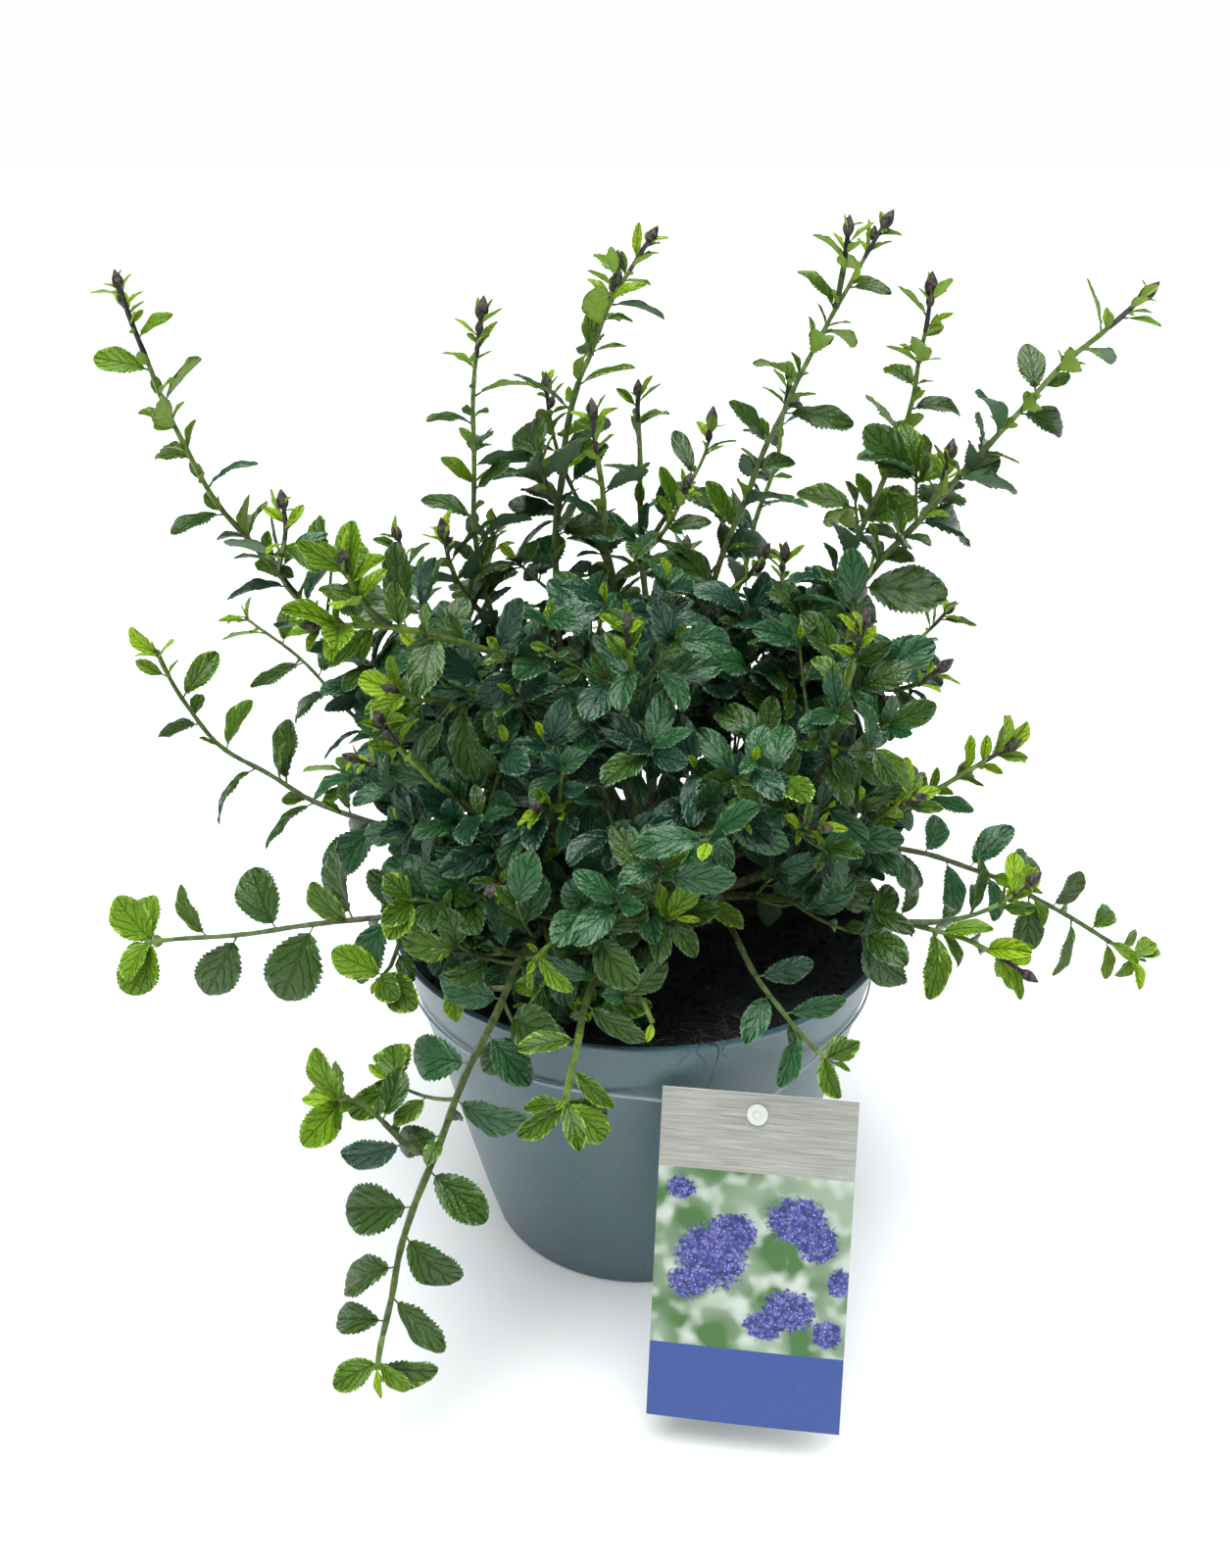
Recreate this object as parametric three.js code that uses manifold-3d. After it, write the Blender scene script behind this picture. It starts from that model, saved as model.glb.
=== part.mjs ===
// A California lilac, a low evergreen shrub, growing in a round nursery pot with a hanging label.
// Millimetres, +Z up. The origin is the middle of the pot's flat underside, and -Y is the plant's front.
import * as THREE from "three";
import { mergeVertices } from "three/addons/utils/BufferGeometryUtils.js";
import Module from "manifold-3d";

const wasm = await Module();
wasm.setup();

// ---- Driving dimensions ----

const GAP = 0.3; // between pieces that touch

const POT = {
  height: 136,
  rimRadius: 95,
  baseRadius: 62,
  footRound: 2, // how far its bottom edge is rounded off
  wall: 1.4,
  floor: 2.4,
  bead: 1, // how far the rim's bead stands out
  beadHeight: 3,
  beadRound: 0.6,
  sides: 40,
  drains: 6,
  drainRadius: 4.5,
  drainCircle: 42,
  drainSides: 10,
};

const COMPOST = {
  top: 128,
  flatRadius: 64, // level this far out, then sinking to the wall
  edgeTop: 125,
};

const LABEL = {
  width: 65,
  height: 114,
  thickness: 0.5,
  centre: new THREE.Vector3(35.5, -119, 67.5),
  yaw: -7.6, // degrees, turned to the right
  lean: 21, // degrees, its foot swung out from the pot
  holeRadius: 2.5,
  holeAcross: 32, // from its left edge
  holeDown: 7, // from its top edge
  holeSides: 12,
};

const BUTTON = { headRadius: 3.6, headThickness: 0.9, headBevel: 0.4, shankRadius: 2, sides: 12 };

const BAND = { width: 1.3, thickness: 0.8, sides: 32 }; // the elastic that holds the label to the pot

const COLLAR = {
  height: 40, // over the compost
  footRadius: 15,
  flareRadius: 12, // where the flare of the foot ends
  flareHeight: 2.8,
  waistRadius: 9.5,
  waistHeight: 12,
  topRadius: 8.5,
  neckHeight: 30, // even from here to its top
  lean: new THREE.Vector2(2, -1.5), // how far its top is off its foot
  sides: 20,
};

// The boughs spring from the collar in three tiers, by how steeply they set out.
const TIERS = [
  { steepest: 38, height: 12, turn: 0 },
  { steepest: 62, height: 25, turn: 12 },
  { steepest: 90, height: 40, turn: 0 },
];
const TOP_RING = 6; // radius of the ring of boughs that stand on the collar's top
const BOUGH = { length: 42, rootRadius: 2.2, tipRadius: 1.7, sides: 4, step: 14 };
const STEM = { tipRadius: 0.75, sides: 3 };
const FORK = { rootRadius: 1.2 };
const PULL = 0.38; // how far a shoot holds its first and its last heading, as a share of its span

// A short side twig that bears leaves.
const SPUR = {
  shortest: 18,
  longest: 44,
  tries: [1, 0.7, 0.45], // the shares of its length that it is tried at
  tested: [0.4, 0.7, 1], // the places along it that must be free
  rootRadius: 0.9,
  slope: 54, // degrees off its stem
  slopeVaries: 10,
  spacing: 16, // from leaf to leaf
  overhang: 0.6, // of a spacing, past its last side leaf
  turnVaries: 35, // degrees that a side leaf strays from its side
  tipSeat: 0.92, // where its tip leaf is rooted
  tipSlope: [16, 30],
  fewest: 2, // leaves, or it isn't grown
};

const LEAF = {
  length: 24, // on the long shoots
  domeLength: 34, // in the dense middle, where each leaf stands for a few
  lengthVaries: [0.85, 1.1],
  shares: [1, 0.75, 0.55], // of its length, the sizes that it is tried at
  breadth: 0.66, // of its length
  thickness: 0.9,
  crest: 0.45, // where along its midrib it is thickest
  slope: 56, // degrees off its twig
  tipSlope: 20, // at the end of a stem
  tiltVaries: 25, // degrees that its blade turns from the light
  lift: 0.12, // how far it turns up to the sky
  spacing: 19, // from node to node along a stem
  room: 4, // from one leaf to the next in its mass
};
const LIGHT = { up: 0.9, front: 0.35, out: 0.55 }; // what leaves face
const YOUNG = {
  nodes: 4, // below a tip, whose leaves are still growing
  length: 13,
  lengthVaries: [0.8, 1.2],
  breadth: 0.42,
  slope: 24,
  spread: [20, 40], // degrees off the tip, for those that hold the bud
};
const BUD = { length: 9, breadth: 4.4, sunk: 3.5, leaves: 2, spacing: 4 }; // with the young leaves below it
const NODE_SHARES = [0.25, 0.75]; // the places of the nodes on each straight piece of a stem
const GOLDEN_ANGLE = 137.5; // from one leaf round the stem to the next

// The dense middle of the bush, where every node of a stem bears a spur of leaves.
const DOME = { radius: 112, top: 262, foot: 118 };

// What a leaf or twig keeps clear of, in millimetres.
const CLEAR = { neighbour: 1.1, limb: 0.9, pot: 1.6, label: 3 };
const SPACE_STEP = 4; // between the points on a mass's lines by which its space is known

// One shoot: the bearing of its tip round the pot in degrees (0 right, 90 back, 270 front), the tip's
// reach from the pot's axis, its height over the ground, and the shoot's pitch in degrees where it sets
// out and at its tip. Its bearing where it sets out, and at its tip, may differ from that of the tip's place.
const shoot = (bearing, reach, height, leave, arrive, { out = bearing, end = bearing } = {}) => ({
  bearing,
  reach,
  height,
  leave,
  arrive,
  out,
  end,
});
// A side shoot: it forks off its main shoot a share of the way along, and ends at its own tip.
const fork = (share, ...tip) => ({ share, ...shoot(...tip) });

const MASSES = {
  upper_left: {
    main: shoot(173, 178, 362, 38, 82, { end: 181 }),
    forks: [fork(0.58, 180, 124, 293, 50, 84), fork(0.3, 190, 104, 206, 0, 30)],
  },
  left: {
    main: shoot(180, 175, 241, 34, 76, { end: 182 }),
    forks: [fork(0.28, 158, 172, 232, 36, 26)],
  },
  left_level: {
    main: shoot(199, 183, 155, 34, 0, { end: 188 }),
    forks: [fork(0.5, 217, 115, 146, -10, -5)],
  },
  front_droop: {
    main: shoot(238, 166, 42, 62, -78),
    forks: [fork(0.66, 231, 154, 134, -30, 5), fork(0.36, 222, 106, 178, 0, 0)],
  },
  front: {
    main: shoot(258, 124, 133, 55, -62),
    forks: [
      fork(0.5, 275, 86, 180, 10, 25),
      fork(0.62, 271, 106, 154, -10, -28),
      fork(0.45, 250, 104, 172, 0, -10),
    ],
  },
  front_right: {
    main: shoot(298, 125, 142, 46, -25, { end: 332 }),
    forks: [],
  },
  right_front: {
    main: shoot(332, 147, 149, 38, -25, { end: 333 }),
    forks: [fork(0.72, 339, 142, 173, 10, 55)],
  },
  far_right: {
    main: shoot(2, 202, 106, 30, -34, { end: 355 }),
    forks: [],
  },
  right: {
    main: shoot(351, 130, 211, 24, 37, { end: 356 }),
    forks: [fork(0.4, 330, 104, 206, 10, 30)],
  },
  right_inner: {
    main: shoot(324, 85, 266, 60, 86),
    forks: [fork(0.36, 308, 92, 206, 0, 20)],
  },
  upper_right: {
    main: shoot(0, 160, 361, 62, 43, { end: 2 }),
    forks: [fork(0.62, 4, 105, 308, 60, 85), fork(0.34, 344, 104, 244, 10, 50)],
  },
  upper_right_inner: {
    main: shoot(20, 106, 359, 63, 90, { end: 38 }),
    forks: [],
  },
  top_right: {
    main: shoot(31, 98, 380, 80, 52, { end: 28 }),
    forks: [fork(0.86, 30, 81, 378, 80, 88), fork(0.35, 13, 43, 272, 80, 70)],
  },
  top: {
    main: shoot(88, 56, 375, 63, 50, { out: 140, end: 29 }),
    forks: [fork(0.8, 101, 51, 366, 60, 86)],
  },
  top_left: {
    main: shoot(162, 58, 353, 54, 101, { end: 164 }),
    forks: [fork(0.5, 176, 70, 281, 40, 86)],
  },
  centre_top: {
    main: shoot(131, 27, 320, 84, 80),
    forks: [fork(0.6, 125, 61, 324, 60, 88), fork(0.6, 350, 14, 300, 60, 75)],
  },
  near_left: {
    main: shoot(223, 131, 280, 82, 12, { out: 230 }),
    forks: [fork(0.86, 222, 119, 295, 40, 80), fork(0.5, 205, 92, 240, 10, 40)],
  },
  centre: {
    main: shoot(264, 60, 270, 78, 62),
    forks: [fork(0.4, 246, 84, 216, 10, 30), fork(0.4, 290, 84, 214, 0, 30)],
  },
  low_left: {
    main: shoot(224, 113, 245, 39, 61, { end: 214 }),
    forks: [fork(0.36, 240, 96, 190, 10, 10)],
  },
  back_top: {
    main: shoot(91, 70, 319, 68, 76),
    forks: [fork(0.6, 71, 85, 306, 60, 80)],
  },
  back_right: {
    main: shoot(29, 143, 233, 46, 40),
    forks: [fork(0.5, 56, 108, 250, 60, 70)],
  },
  back_right_low: {
    main: shoot(54, 180, 138, 30, -22),
    forks: [fork(0.6, 44, 144, 156, 0, 20)],
  },
  back: {
    main: shoot(82, 172, 232, 40, 52),
    forks: [fork(0.4, 98, 132, 214, 10, 30)],
  },
  back_droop: {
    main: shoot(106, 162, 66, 56, -76),
    forks: [fork(0.66, 92, 156, 140, -30, 0)],
  },
  back_left_low: {
    main: shoot(134, 186, 134, 30, -14),
    forks: [fork(0.55, 150, 150, 160, 0, 25)],
  },
  back_left: {
    main: shoot(138, 134, 258, 50, 66),
    forks: [fork(0.6, 124, 108, 264, 60, 84), fork(0.36, 146, 100, 214, 10, 40)],
  },
  back_upper: {
    main: shoot(62, 132, 318, 58, 74),
    forks: [fork(0.4, 74, 98, 236, 10, 50)],
  },
};

// ---- Materials ----

const finish = (color, roughness) => new THREE.MeshStandardMaterial({ color, roughness, metalness: 0 });
const materials = {
  pot: finish(0x5d7077, 0.55),
  compost: finish(0x12100f, 1),
  card: finish(0xb9bfc4, 0.45),
  button: finish(0xf2f3ee, 0.4),
  band: finish(0xc4cdd0, 0.35),
  bark: finish(0x4f4636, 0.85),
  bough: finish(0x47552f, 0.7),
  foliage: finish(0x33563c, 0.5),
};

// ---- Solids ----

const SAME_VERTEX = 1e-4;

// A closed geometry as a solid, its faces turned outwards.
function solidOf(geometry) {
  const bare = geometry.clone();
  bare.deleteAttribute("normal");
  bare.deleteAttribute("uv");
  const merged = mergeVertices(bare, SAME_VERTEX);
  const vertProperties = merged.attributes.position.array;
  const triVerts = new Uint32Array(merged.index.array);
  const solid = new wasm.Manifold(new wasm.Mesh({ numProp: 3, vertProperties, triVerts }));
  if (solid.volume() > 0) return solid;
  for (let i = 0; i < triVerts.length; i += 3) {
    [triVerts[i + 1], triVerts[i + 2]] = [triVerts[i + 2], triVerts[i + 1]];
  }
  return new wasm.Manifold(new wasm.Mesh({ numProp: 3, vertProperties, triVerts }));
}

// A solid as a named mesh. A loose scrap or a sealed hollow is left out, so that one whole body stays.
function meshOf(name, solid, material) {
  const bodies = solid.decompose();
  const whole = bodies.reduce((most, body) => (body.volume() > most.volume() ? body : most));
  const { vertProperties, triVerts } = whole.getMesh();
  const geometry = new THREE.BufferGeometry();
  geometry.setAttribute("position", new THREE.BufferAttribute(vertProperties, 3));
  geometry.setIndex(new THREE.BufferAttribute(triVerts, 1));
  const mesh = new THREE.Mesh(geometry, material);
  mesh.name = name;
  return mesh;
}

// Turned on the vertical axis from a profile of [radius, height] pairs.
function turned(profile, sides) {
  const points = profile.map(([radius, height]) => new THREE.Vector2(radius, height));
  return new THREE.LatheGeometry(points, sides).rotateX(Math.PI / 2);
}

const radians = THREE.MathUtils.degToRad;
const lerp = THREE.MathUtils.lerp;

// The unit vector that points to a bearing, raised by a pitch.
const heading = (bearing, pitch) =>
  new THREE.Vector3(
    Math.cos(radians(bearing)) * Math.cos(radians(pitch)),
    Math.sin(radians(bearing)) * Math.cos(radians(pitch)),
    Math.sin(radians(pitch)),
  );

// Cross-wise frames carried along a line of points without twisting. An end's own tangent may be given.
function framesOf(points, { rootTangent, tipTangent } = {}) {
  const last = points.length - 1;
  const tangents = points.map((_, i) =>
    points[Math.min(i + 1, last)].clone().sub(points[Math.max(i - 1, 0)]).normalize(),
  );
  tangents[0] = rootTangent ?? tangents[0];
  tangents[last] = tipTangent ?? tangents[last];
  const level = new THREE.Vector3(-tangents[0].y, tangents[0].x, 0);
  let across = level.lengthSq() > 1e-6 ? level.normalize() : new THREE.Vector3(1, 0, 0);
  return tangents.map((tangent) => {
    across = across.clone().addScaledVector(tangent, -across.dot(tangent)).normalize();
    return { tangent, across, up: new THREE.Vector3().crossVectors(tangent, across) };
  });
}

// A tapering limb: a capped cylinder bent along a line of points.
function limb(points, rootRadius, tipRadius, sides, ends) {
  const last = points.length - 1;
  const frames = framesOf(points, ends);
  const geometry = new THREE.CylinderGeometry(1, 1, 1, sides, last);
  const position = geometry.attributes.position;
  const place = new THREE.Vector3();
  for (let i = 0; i < position.count; i++) {
    const station = Math.round((position.getY(i) + 0.5) * last);
    const radius = lerp(rootRadius, tipRadius, station / last);
    place.copy(points[station]);
    place.addScaledVector(frames[station].across, position.getX(i) * radius);
    place.addScaledVector(frames[station].up, position.getZ(i) * radius);
    position.setXYZ(i, place.x, place.y, place.z);
  }
  return solidOf(geometry);
}

// A grown leaf's outline as shares of its length and breadth, from its root round its blunt tip.
const OUTLINE = [
  [0, 0],
  [0.36, 0.5],
  [0.88, 0.34],
  [0.88, -0.34],
  [0.36, -0.5],
];

// A grown leaf of eight faces: five rise from its outline to the midrib, and three close its underside.
function grownBlade() {
  const corners = [...OUTLINE.map(([x, y]) => [x, y, 0]), [LEAF.crest, 0, 1]];
  const geometry = new THREE.BufferGeometry();
  geometry.setAttribute("position", new THREE.Float32BufferAttribute(corners.flat(), 3));
  const crest = OUTLINE.length;
  const faces = OUTLINE.map((_, i) => [i, (i + 1) % crest, crest]);
  faces.push([0, 4, 1], [1, 4, 2], [2, 4, 3]);
  return geometry.setIndex(faces.flat());
}

// A young leaf or a bud: a pointed body of eight faces.
const pointedBlade = () => new THREE.OctahedronGeometry(0.5).translate(0.5, 0, 0);

// A leaf or bud as a solid from its root along a direction, thin along its normal.
function blade({ root, along, normal, length, width, thickness, pointed }) {
  const side = new THREE.Vector3().crossVectors(normal, along);
  const frame = new THREE.Matrix4().makeBasis(
    along.clone().multiplyScalar(length),
    side.multiplyScalar(width),
    normal.clone().multiplyScalar(thickness),
  );
  return solidOf((pointed ? pointedBlade() : grownBlade()).applyMatrix4(frame.setPosition(root)));
}

// Random numbers from 0 to 1, the same for the same seed, by the mulberry32 rule.
function seeded(seed) {
  let state = seed;
  return () => {
    state = (state + 0x6d2b79f5) >>> 0;
    let mixed = Math.imul(state ^ (state >>> 15), state | 1);
    mixed = (mixed + Math.imul(mixed ^ (mixed >>> 7), mixed | 61)) ^ mixed;
    return ((mixed ^ (mixed >>> 14)) >>> 0) / 2 ** 32;
  };
}

// ---- Pot, compost and label ----

const potRadius = (height) => lerp(POT.baseRadius, POT.rimRadius, height / POT.height);

function pot() {
  const beadFoot = POT.height - POT.beadHeight;
  const profile = [
    [0, 0],
    [POT.baseRadius - POT.footRound, 0],
    [POT.baseRadius, POT.footRound],
    [potRadius(beadFoot), beadFoot],
    [potRadius(beadFoot) + POT.bead, beadFoot + POT.beadRound],
    [POT.rimRadius + POT.bead, POT.height - POT.beadRound],
    [POT.rimRadius, POT.height],
    [POT.rimRadius - POT.wall, POT.height],
    [potRadius(POT.floor) - POT.wall, POT.floor],
    [0, POT.floor],
  ];
  let body = solidOf(turned(profile, POT.sides));
  for (let i = 0; i < POT.drains; i++) {
    const place = heading((360 / POT.drains) * i, 0).multiplyScalar(POT.drainCircle);
    const drill = new THREE.CylinderGeometry(POT.drainRadius, POT.drainRadius, 4 * POT.floor, POT.drainSides);
    body = body.subtract(solidOf(drill.rotateX(Math.PI / 2).translate(...place)));
  }
  return meshOf("pot", body, materials.pot);
}

function compost() {
  const foot = POT.floor + GAP;
  const reach = (height) => potRadius(height) - POT.wall - 2 * GAP;
  const profile = [
    [0, foot],
    [reach(foot), foot],
    [reach(COMPOST.edgeTop), COMPOST.edgeTop],
    [COMPOST.flatRadius, COMPOST.top],
    [0, COMPOST.top],
  ];
  return meshOf("compost", solidOf(turned(profile, POT.sides)), materials.compost);
}

// The label hangs in a group of its own, whose X runs along its width, Y up it and Z out of its face.
const label = new THREE.Group();
label.position.copy(LABEL.centre);
label.rotation.set(radians(90 - LABEL.lean), 0, radians(LABEL.yaw), "ZYX");
label.updateMatrixWorld(true);
const holeX = LABEL.holeAcross - LABEL.width / 2;
const holeY = LABEL.height / 2 - LABEL.holeDown;

function card() {
  const outline = new THREE.Shape();
  outline.moveTo(-LABEL.width / 2, -LABEL.height / 2);
  outline.lineTo(LABEL.width / 2, -LABEL.height / 2);
  outline.lineTo(LABEL.width / 2, LABEL.height / 2);
  outline.lineTo(-LABEL.width / 2, LABEL.height / 2);
  outline.holes.push(new THREE.Path().absarc(holeX, holeY, LABEL.holeRadius, 0, 2 * Math.PI, true));
  const depth = LABEL.thickness;
  const sheet = new THREE.ExtrudeGeometry(outline, {
    depth,
    bevelEnabled: false,
    curveSegments: LABEL.holeSides,
  });
  return meshOf("label_card", solidOf(sheet.translate(0, 0, -depth / 2)), materials.card);
}

// A press-in button: a head on each face of the card, and a shank through its hole.
function button() {
  const inner = LABEL.thickness / 2 + GAP;
  const outer = inner + BUTTON.headThickness;
  const profile = [
    [0, -outer],
    [BUTTON.headRadius, -outer],
    [BUTTON.headRadius, -inner],
    [BUTTON.shankRadius, -inner],
    [BUTTON.shankRadius, inner],
    [BUTTON.headRadius, inner],
    [BUTTON.headRadius - BUTTON.headBevel, outer],
    [0, outer],
  ];
  const mesh = meshOf("label_button", solidOf(turned(profile, BUTTON.sides)), materials.button);
  mesh.position.set(holeX, holeY, 0);
  return mesh;
}

// The elastic band: level round the pot, and drawn out to a point behind the button.
function band() {
  const behind = LABEL.thickness / 2 + 2 * GAP + BUTTON.headThickness;
  const hook = new THREE.Vector3(holeX, holeY, -behind).applyMatrix4(label.matrixWorld);
  const sag = 1 / Math.cos(Math.PI / BAND.sides); // its flats stay clear of the pot
  const radius = (potRadius(hook.z + BAND.width / 2) + GAP) * sag;
  const distance = Math.hypot(hook.x, hook.y);
  const bearing = Math.atan2(hook.y, hook.x);
  const loop = (size, far) => {
    const opening = Math.acos(size / far); // from the hook's bearing to where the band leaves the pot
    const arc = 2 * (Math.PI - opening);
    const points = [new THREE.Vector2(Math.cos(bearing), Math.sin(bearing)).multiplyScalar(far)];
    for (let i = 0; i <= BAND.sides; i++) {
      const turn = bearing + opening + (arc * i) / BAND.sides;
      points.push(new THREE.Vector2(Math.cos(turn), Math.sin(turn)).multiplyScalar(size));
    }
    return points;
  };
  const outline = new THREE.Shape(loop(radius + BAND.thickness, distance));
  outline.holes.push(new THREE.Path(loop(radius, distance - 2 * BAND.thickness)));
  const strip = new THREE.ExtrudeGeometry(outline, { depth: BAND.width, bevelEnabled: false });
  return meshOf("label_band", solidOf(strip.translate(0, 0, hook.z - BAND.width / 2)), materials.band);
}

// ---- Stem, boughs and shoots ----

const collarFoot = COMPOST.top + GAP;

// The collar's [radius, height] pairs, from its foot to its top.
const collarProfile = [
  [COLLAR.footRadius, 0],
  [COLLAR.flareRadius, COLLAR.flareHeight],
  [COLLAR.waistRadius, COLLAR.waistHeight],
  [COLLAR.topRadius, COLLAR.neckHeight],
  [COLLAR.topRadius, COLLAR.height],
];

function collarRadius(height) {
  const above = collarProfile.findIndex((pair) => pair[1] >= height);
  const [lowRadius, low] = collarProfile[above - 1];
  const [highRadius, high] = collarProfile[above];
  return lerp(lowRadius, highRadius, (height - low) / (high - low));
}

// The middle of the leaning collar at a height over the compost.
const collarCentre = (height) =>
  new THREE.Vector3(
    (COLLAR.lean.x * height) / COLLAR.height,
    (COLLAR.lean.y * height) / COLLAR.height,
    collarFoot + height,
  );

// The short stem at the plant's foot, flared at the compost and cut flat there.
function collar() {
  const geometry = turned([[0, 0], ...collarProfile, [0, COLLAR.height]], COLLAR.sides);
  const position = geometry.attributes.position;
  for (let i = 0; i < position.count; i++) {
    const centre = collarCentre(position.getZ(i));
    position.setXYZ(i, position.getX(i) + centre.x, position.getY(i) + centre.y, centre.z);
  }
  return meshOf("root_collar", solidOf(geometry), materials.bark);
}

// The line of a shoot from its root to its tip, a curve that leaves and arrives at the stated pitches.
function lineOf(root, out, { bearing, reach, height, leave, arrive, end }) {
  const tip = heading(bearing, 0).multiplyScalar(reach);
  tip.z = height;
  const pull = root.distanceTo(tip) * PULL;
  return new THREE.CubicBezierCurve3(
    root,
    root.clone().addScaledVector(heading(out, leave), pull),
    tip.clone().addScaledVector(heading(end, arrive), -pull),
    tip,
  );
}

// Evenly spaced points along part of a curve, about a step apart.
function pointsAlong(curve, from, to, step) {
  const count = Math.max(1, Math.round(((to - from) * curve.getLength()) / step));
  return Array.from({ length: count + 1 }, (_, i) => curve.getPointAt(lerp(from, to, i / count)));
}

// Each mass gets its bough's root: the boughs of a tier spring evenly round the collar, in order of bearing.
function rootsOf(masses) {
  const roots = {};
  TIERS.forEach(({ steepest, height, turn }, level) => {
    const gentlest = level ? TIERS[level - 1].steepest : -90;
    const onTop = level === TIERS.length - 1;
    const names = Object.keys(masses)
      .filter((name) => masses[name].main.leave > gentlest && masses[name].main.leave <= steepest)
      .sort((a, b) => masses[a].main.out - masses[b].main.out);
    const pitch = 360 / names.length;
    const drift = names.reduce((sum, name, i) => sum + masses[name].main.out - i * pitch, 0) / names.length;
    names.forEach((name, i) => {
      const slope = radians(masses[name].main.leave);
      const bearing = drift + i * pitch + turn;
      const beside = collarRadius(height) + GAP + BOUGH.rootRadius * Math.sin(slope);
      const place = collarCentre(height).addScaledVector(heading(bearing, 0), onTop ? TOP_RING : beside);
      if (onTop) place.z += GAP + BOUGH.rootRadius * Math.cos(slope);
      roots[name] = { place, bearing };
    });
  });
  return roots;
}

const roots = rootsOf(MASSES);

// Each mass with its curves: the main one from the collar, and its forks from points on that one.
const plants = Object.entries(MASSES).map(([name, { main, forks }], index) => {
  const trunkLine = lineOf(roots[name].place, roots[name].bearing, main);
  const bare = BOUGH.length / trunkLine.getLength(); // the share that is the bough
  const start = bare + GAP / trunkLine.getLength();
  const branches = forks.map((side) => lineOf(trunkLine.getPointAt(side.share), side.out, side));
  const limbPoints = pointsAlong(trunkLine, 0, bare, SPACE_STEP);
  const spacePoints = [trunkLine, ...branches].flatMap((curve) => pointsAlong(curve, 0, 1, SPACE_STEP));
  return { name, seed: index + 1, trunkLine, bare, start, branches, limbPoints, spacePoints };
});

const nearest = (point, places) =>
  Math.sqrt(places.reduce((least, place) => Math.min(least, place.distanceToSquared(point)), Infinity));

const toLabel = label.matrixWorld.clone().invert();

// Whether a point is free of the pot, the compost, the ground and the label.
function inTheOpen(point) {
  const reach = Math.hypot(point.x, point.y);
  if (point.z < CLEAR.pot) return false;
  if (point.z < POT.height + CLEAR.pot) {
    const wall = potRadius(Math.min(point.z, POT.height));
    const outside = reach > wall + POT.bead + CLEAR.pot;
    const inside = reach < wall - POT.wall - CLEAR.pot && point.z > COMPOST.top + CLEAR.pot;
    if (!outside && !inside) return false;
  }
  const spot = point.clone().applyMatrix4(toLabel);
  const besideLabel =
    Math.abs(spot.x) > LABEL.width / 2 + CLEAR.label || Math.abs(spot.y) > LABEL.height / 2 + CLEAR.label;
  return besideLabel || Math.abs(spot.z) > CLEAR.label;
}

// Whether a point is in its mass's own space: nearer its own lines than any other's, and off its limbs.
function inOwnSpace(point, plant) {
  if (!inTheOpen(point)) return false;
  if (nearest(point, plant.limbPoints) < BOUGH.rootRadius + CLEAR.limb) return false;
  const reach = Math.hypot(point.x, point.y);
  const overCollar = point.z > collarFoot + COLLAR.height + CLEAR.limb;
  if (reach < COLLAR.footRadius + CLEAR.limb && !overCollar) return false;
  const own = nearest(point, plant.spacePoints) + CLEAR.neighbour;
  return plants.every((other) => other === plant || nearest(point, other.spacePoints) > own);
}

const fits = (points, plant) => points.every((point) => inOwnSpace(point, plant));

// Points over a leaf's blade, as shares of its length and breadth.
const BLADE_POINTS = [
  [0.25, 0.25],
  [0.25, -0.25],
  [0.5, 0.5],
  [0.5, 0],
  [0.5, -0.5],
  [0.88, 0.34],
  [0.88, -0.34],
  [1, 0],
];
function leafPoints({ root, along, normal, length, width }) {
  const side = new THREE.Vector3().crossVectors(normal, along);
  return BLADE_POINTS.map(([share, offset]) =>
    root.clone().addScaledVector(along, length * share).addScaledVector(side, width * offset),
  );
}

// The way leaves face: up, out from the bush, and a little to the light at its front.
function faceOf(root, along, tilt) {
  const outward = new THREE.Vector3(root.x, root.y, 0).normalize();
  const face = new THREE.Vector3(0, -LIGHT.front, LIGHT.up).addScaledVector(outward, LIGHT.out);
  face.addScaledVector(along, -face.dot(along)).normalize();
  return face.applyAxisAngle(along, radians(tilt));
}

// The direction off a twig at a roll round it and a slope from its line, turned up a little.
function directionOff({ tangent, across, up }, roll, slope) {
  const out = across.clone().multiplyScalar(Math.cos(radians(roll)));
  out.addScaledVector(up, Math.sin(radians(roll)));
  const along = tangent.clone().multiplyScalar(Math.cos(radians(slope)));
  along.addScaledVector(out, Math.sin(radians(slope)));
  along.z += LEAF.lift;
  return along.normalize();
}

// One leaf off a twig, its blade turned by a tilt.
function leafAt(root, frame, { roll, slope, length, breadth = LEAF.breadth, tilt = 0 }) {
  const along = directionOff(frame, roll, slope);
  const normal = faceOf(root, along, tilt);
  return { root, along, normal, length, width: length * breadth, thickness: LEAF.thickness };
}

const inDome = ({ x, y, z }) => Math.hypot(x, y) < DOME.radius && z < DOME.top && z > DOME.foot;

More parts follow.
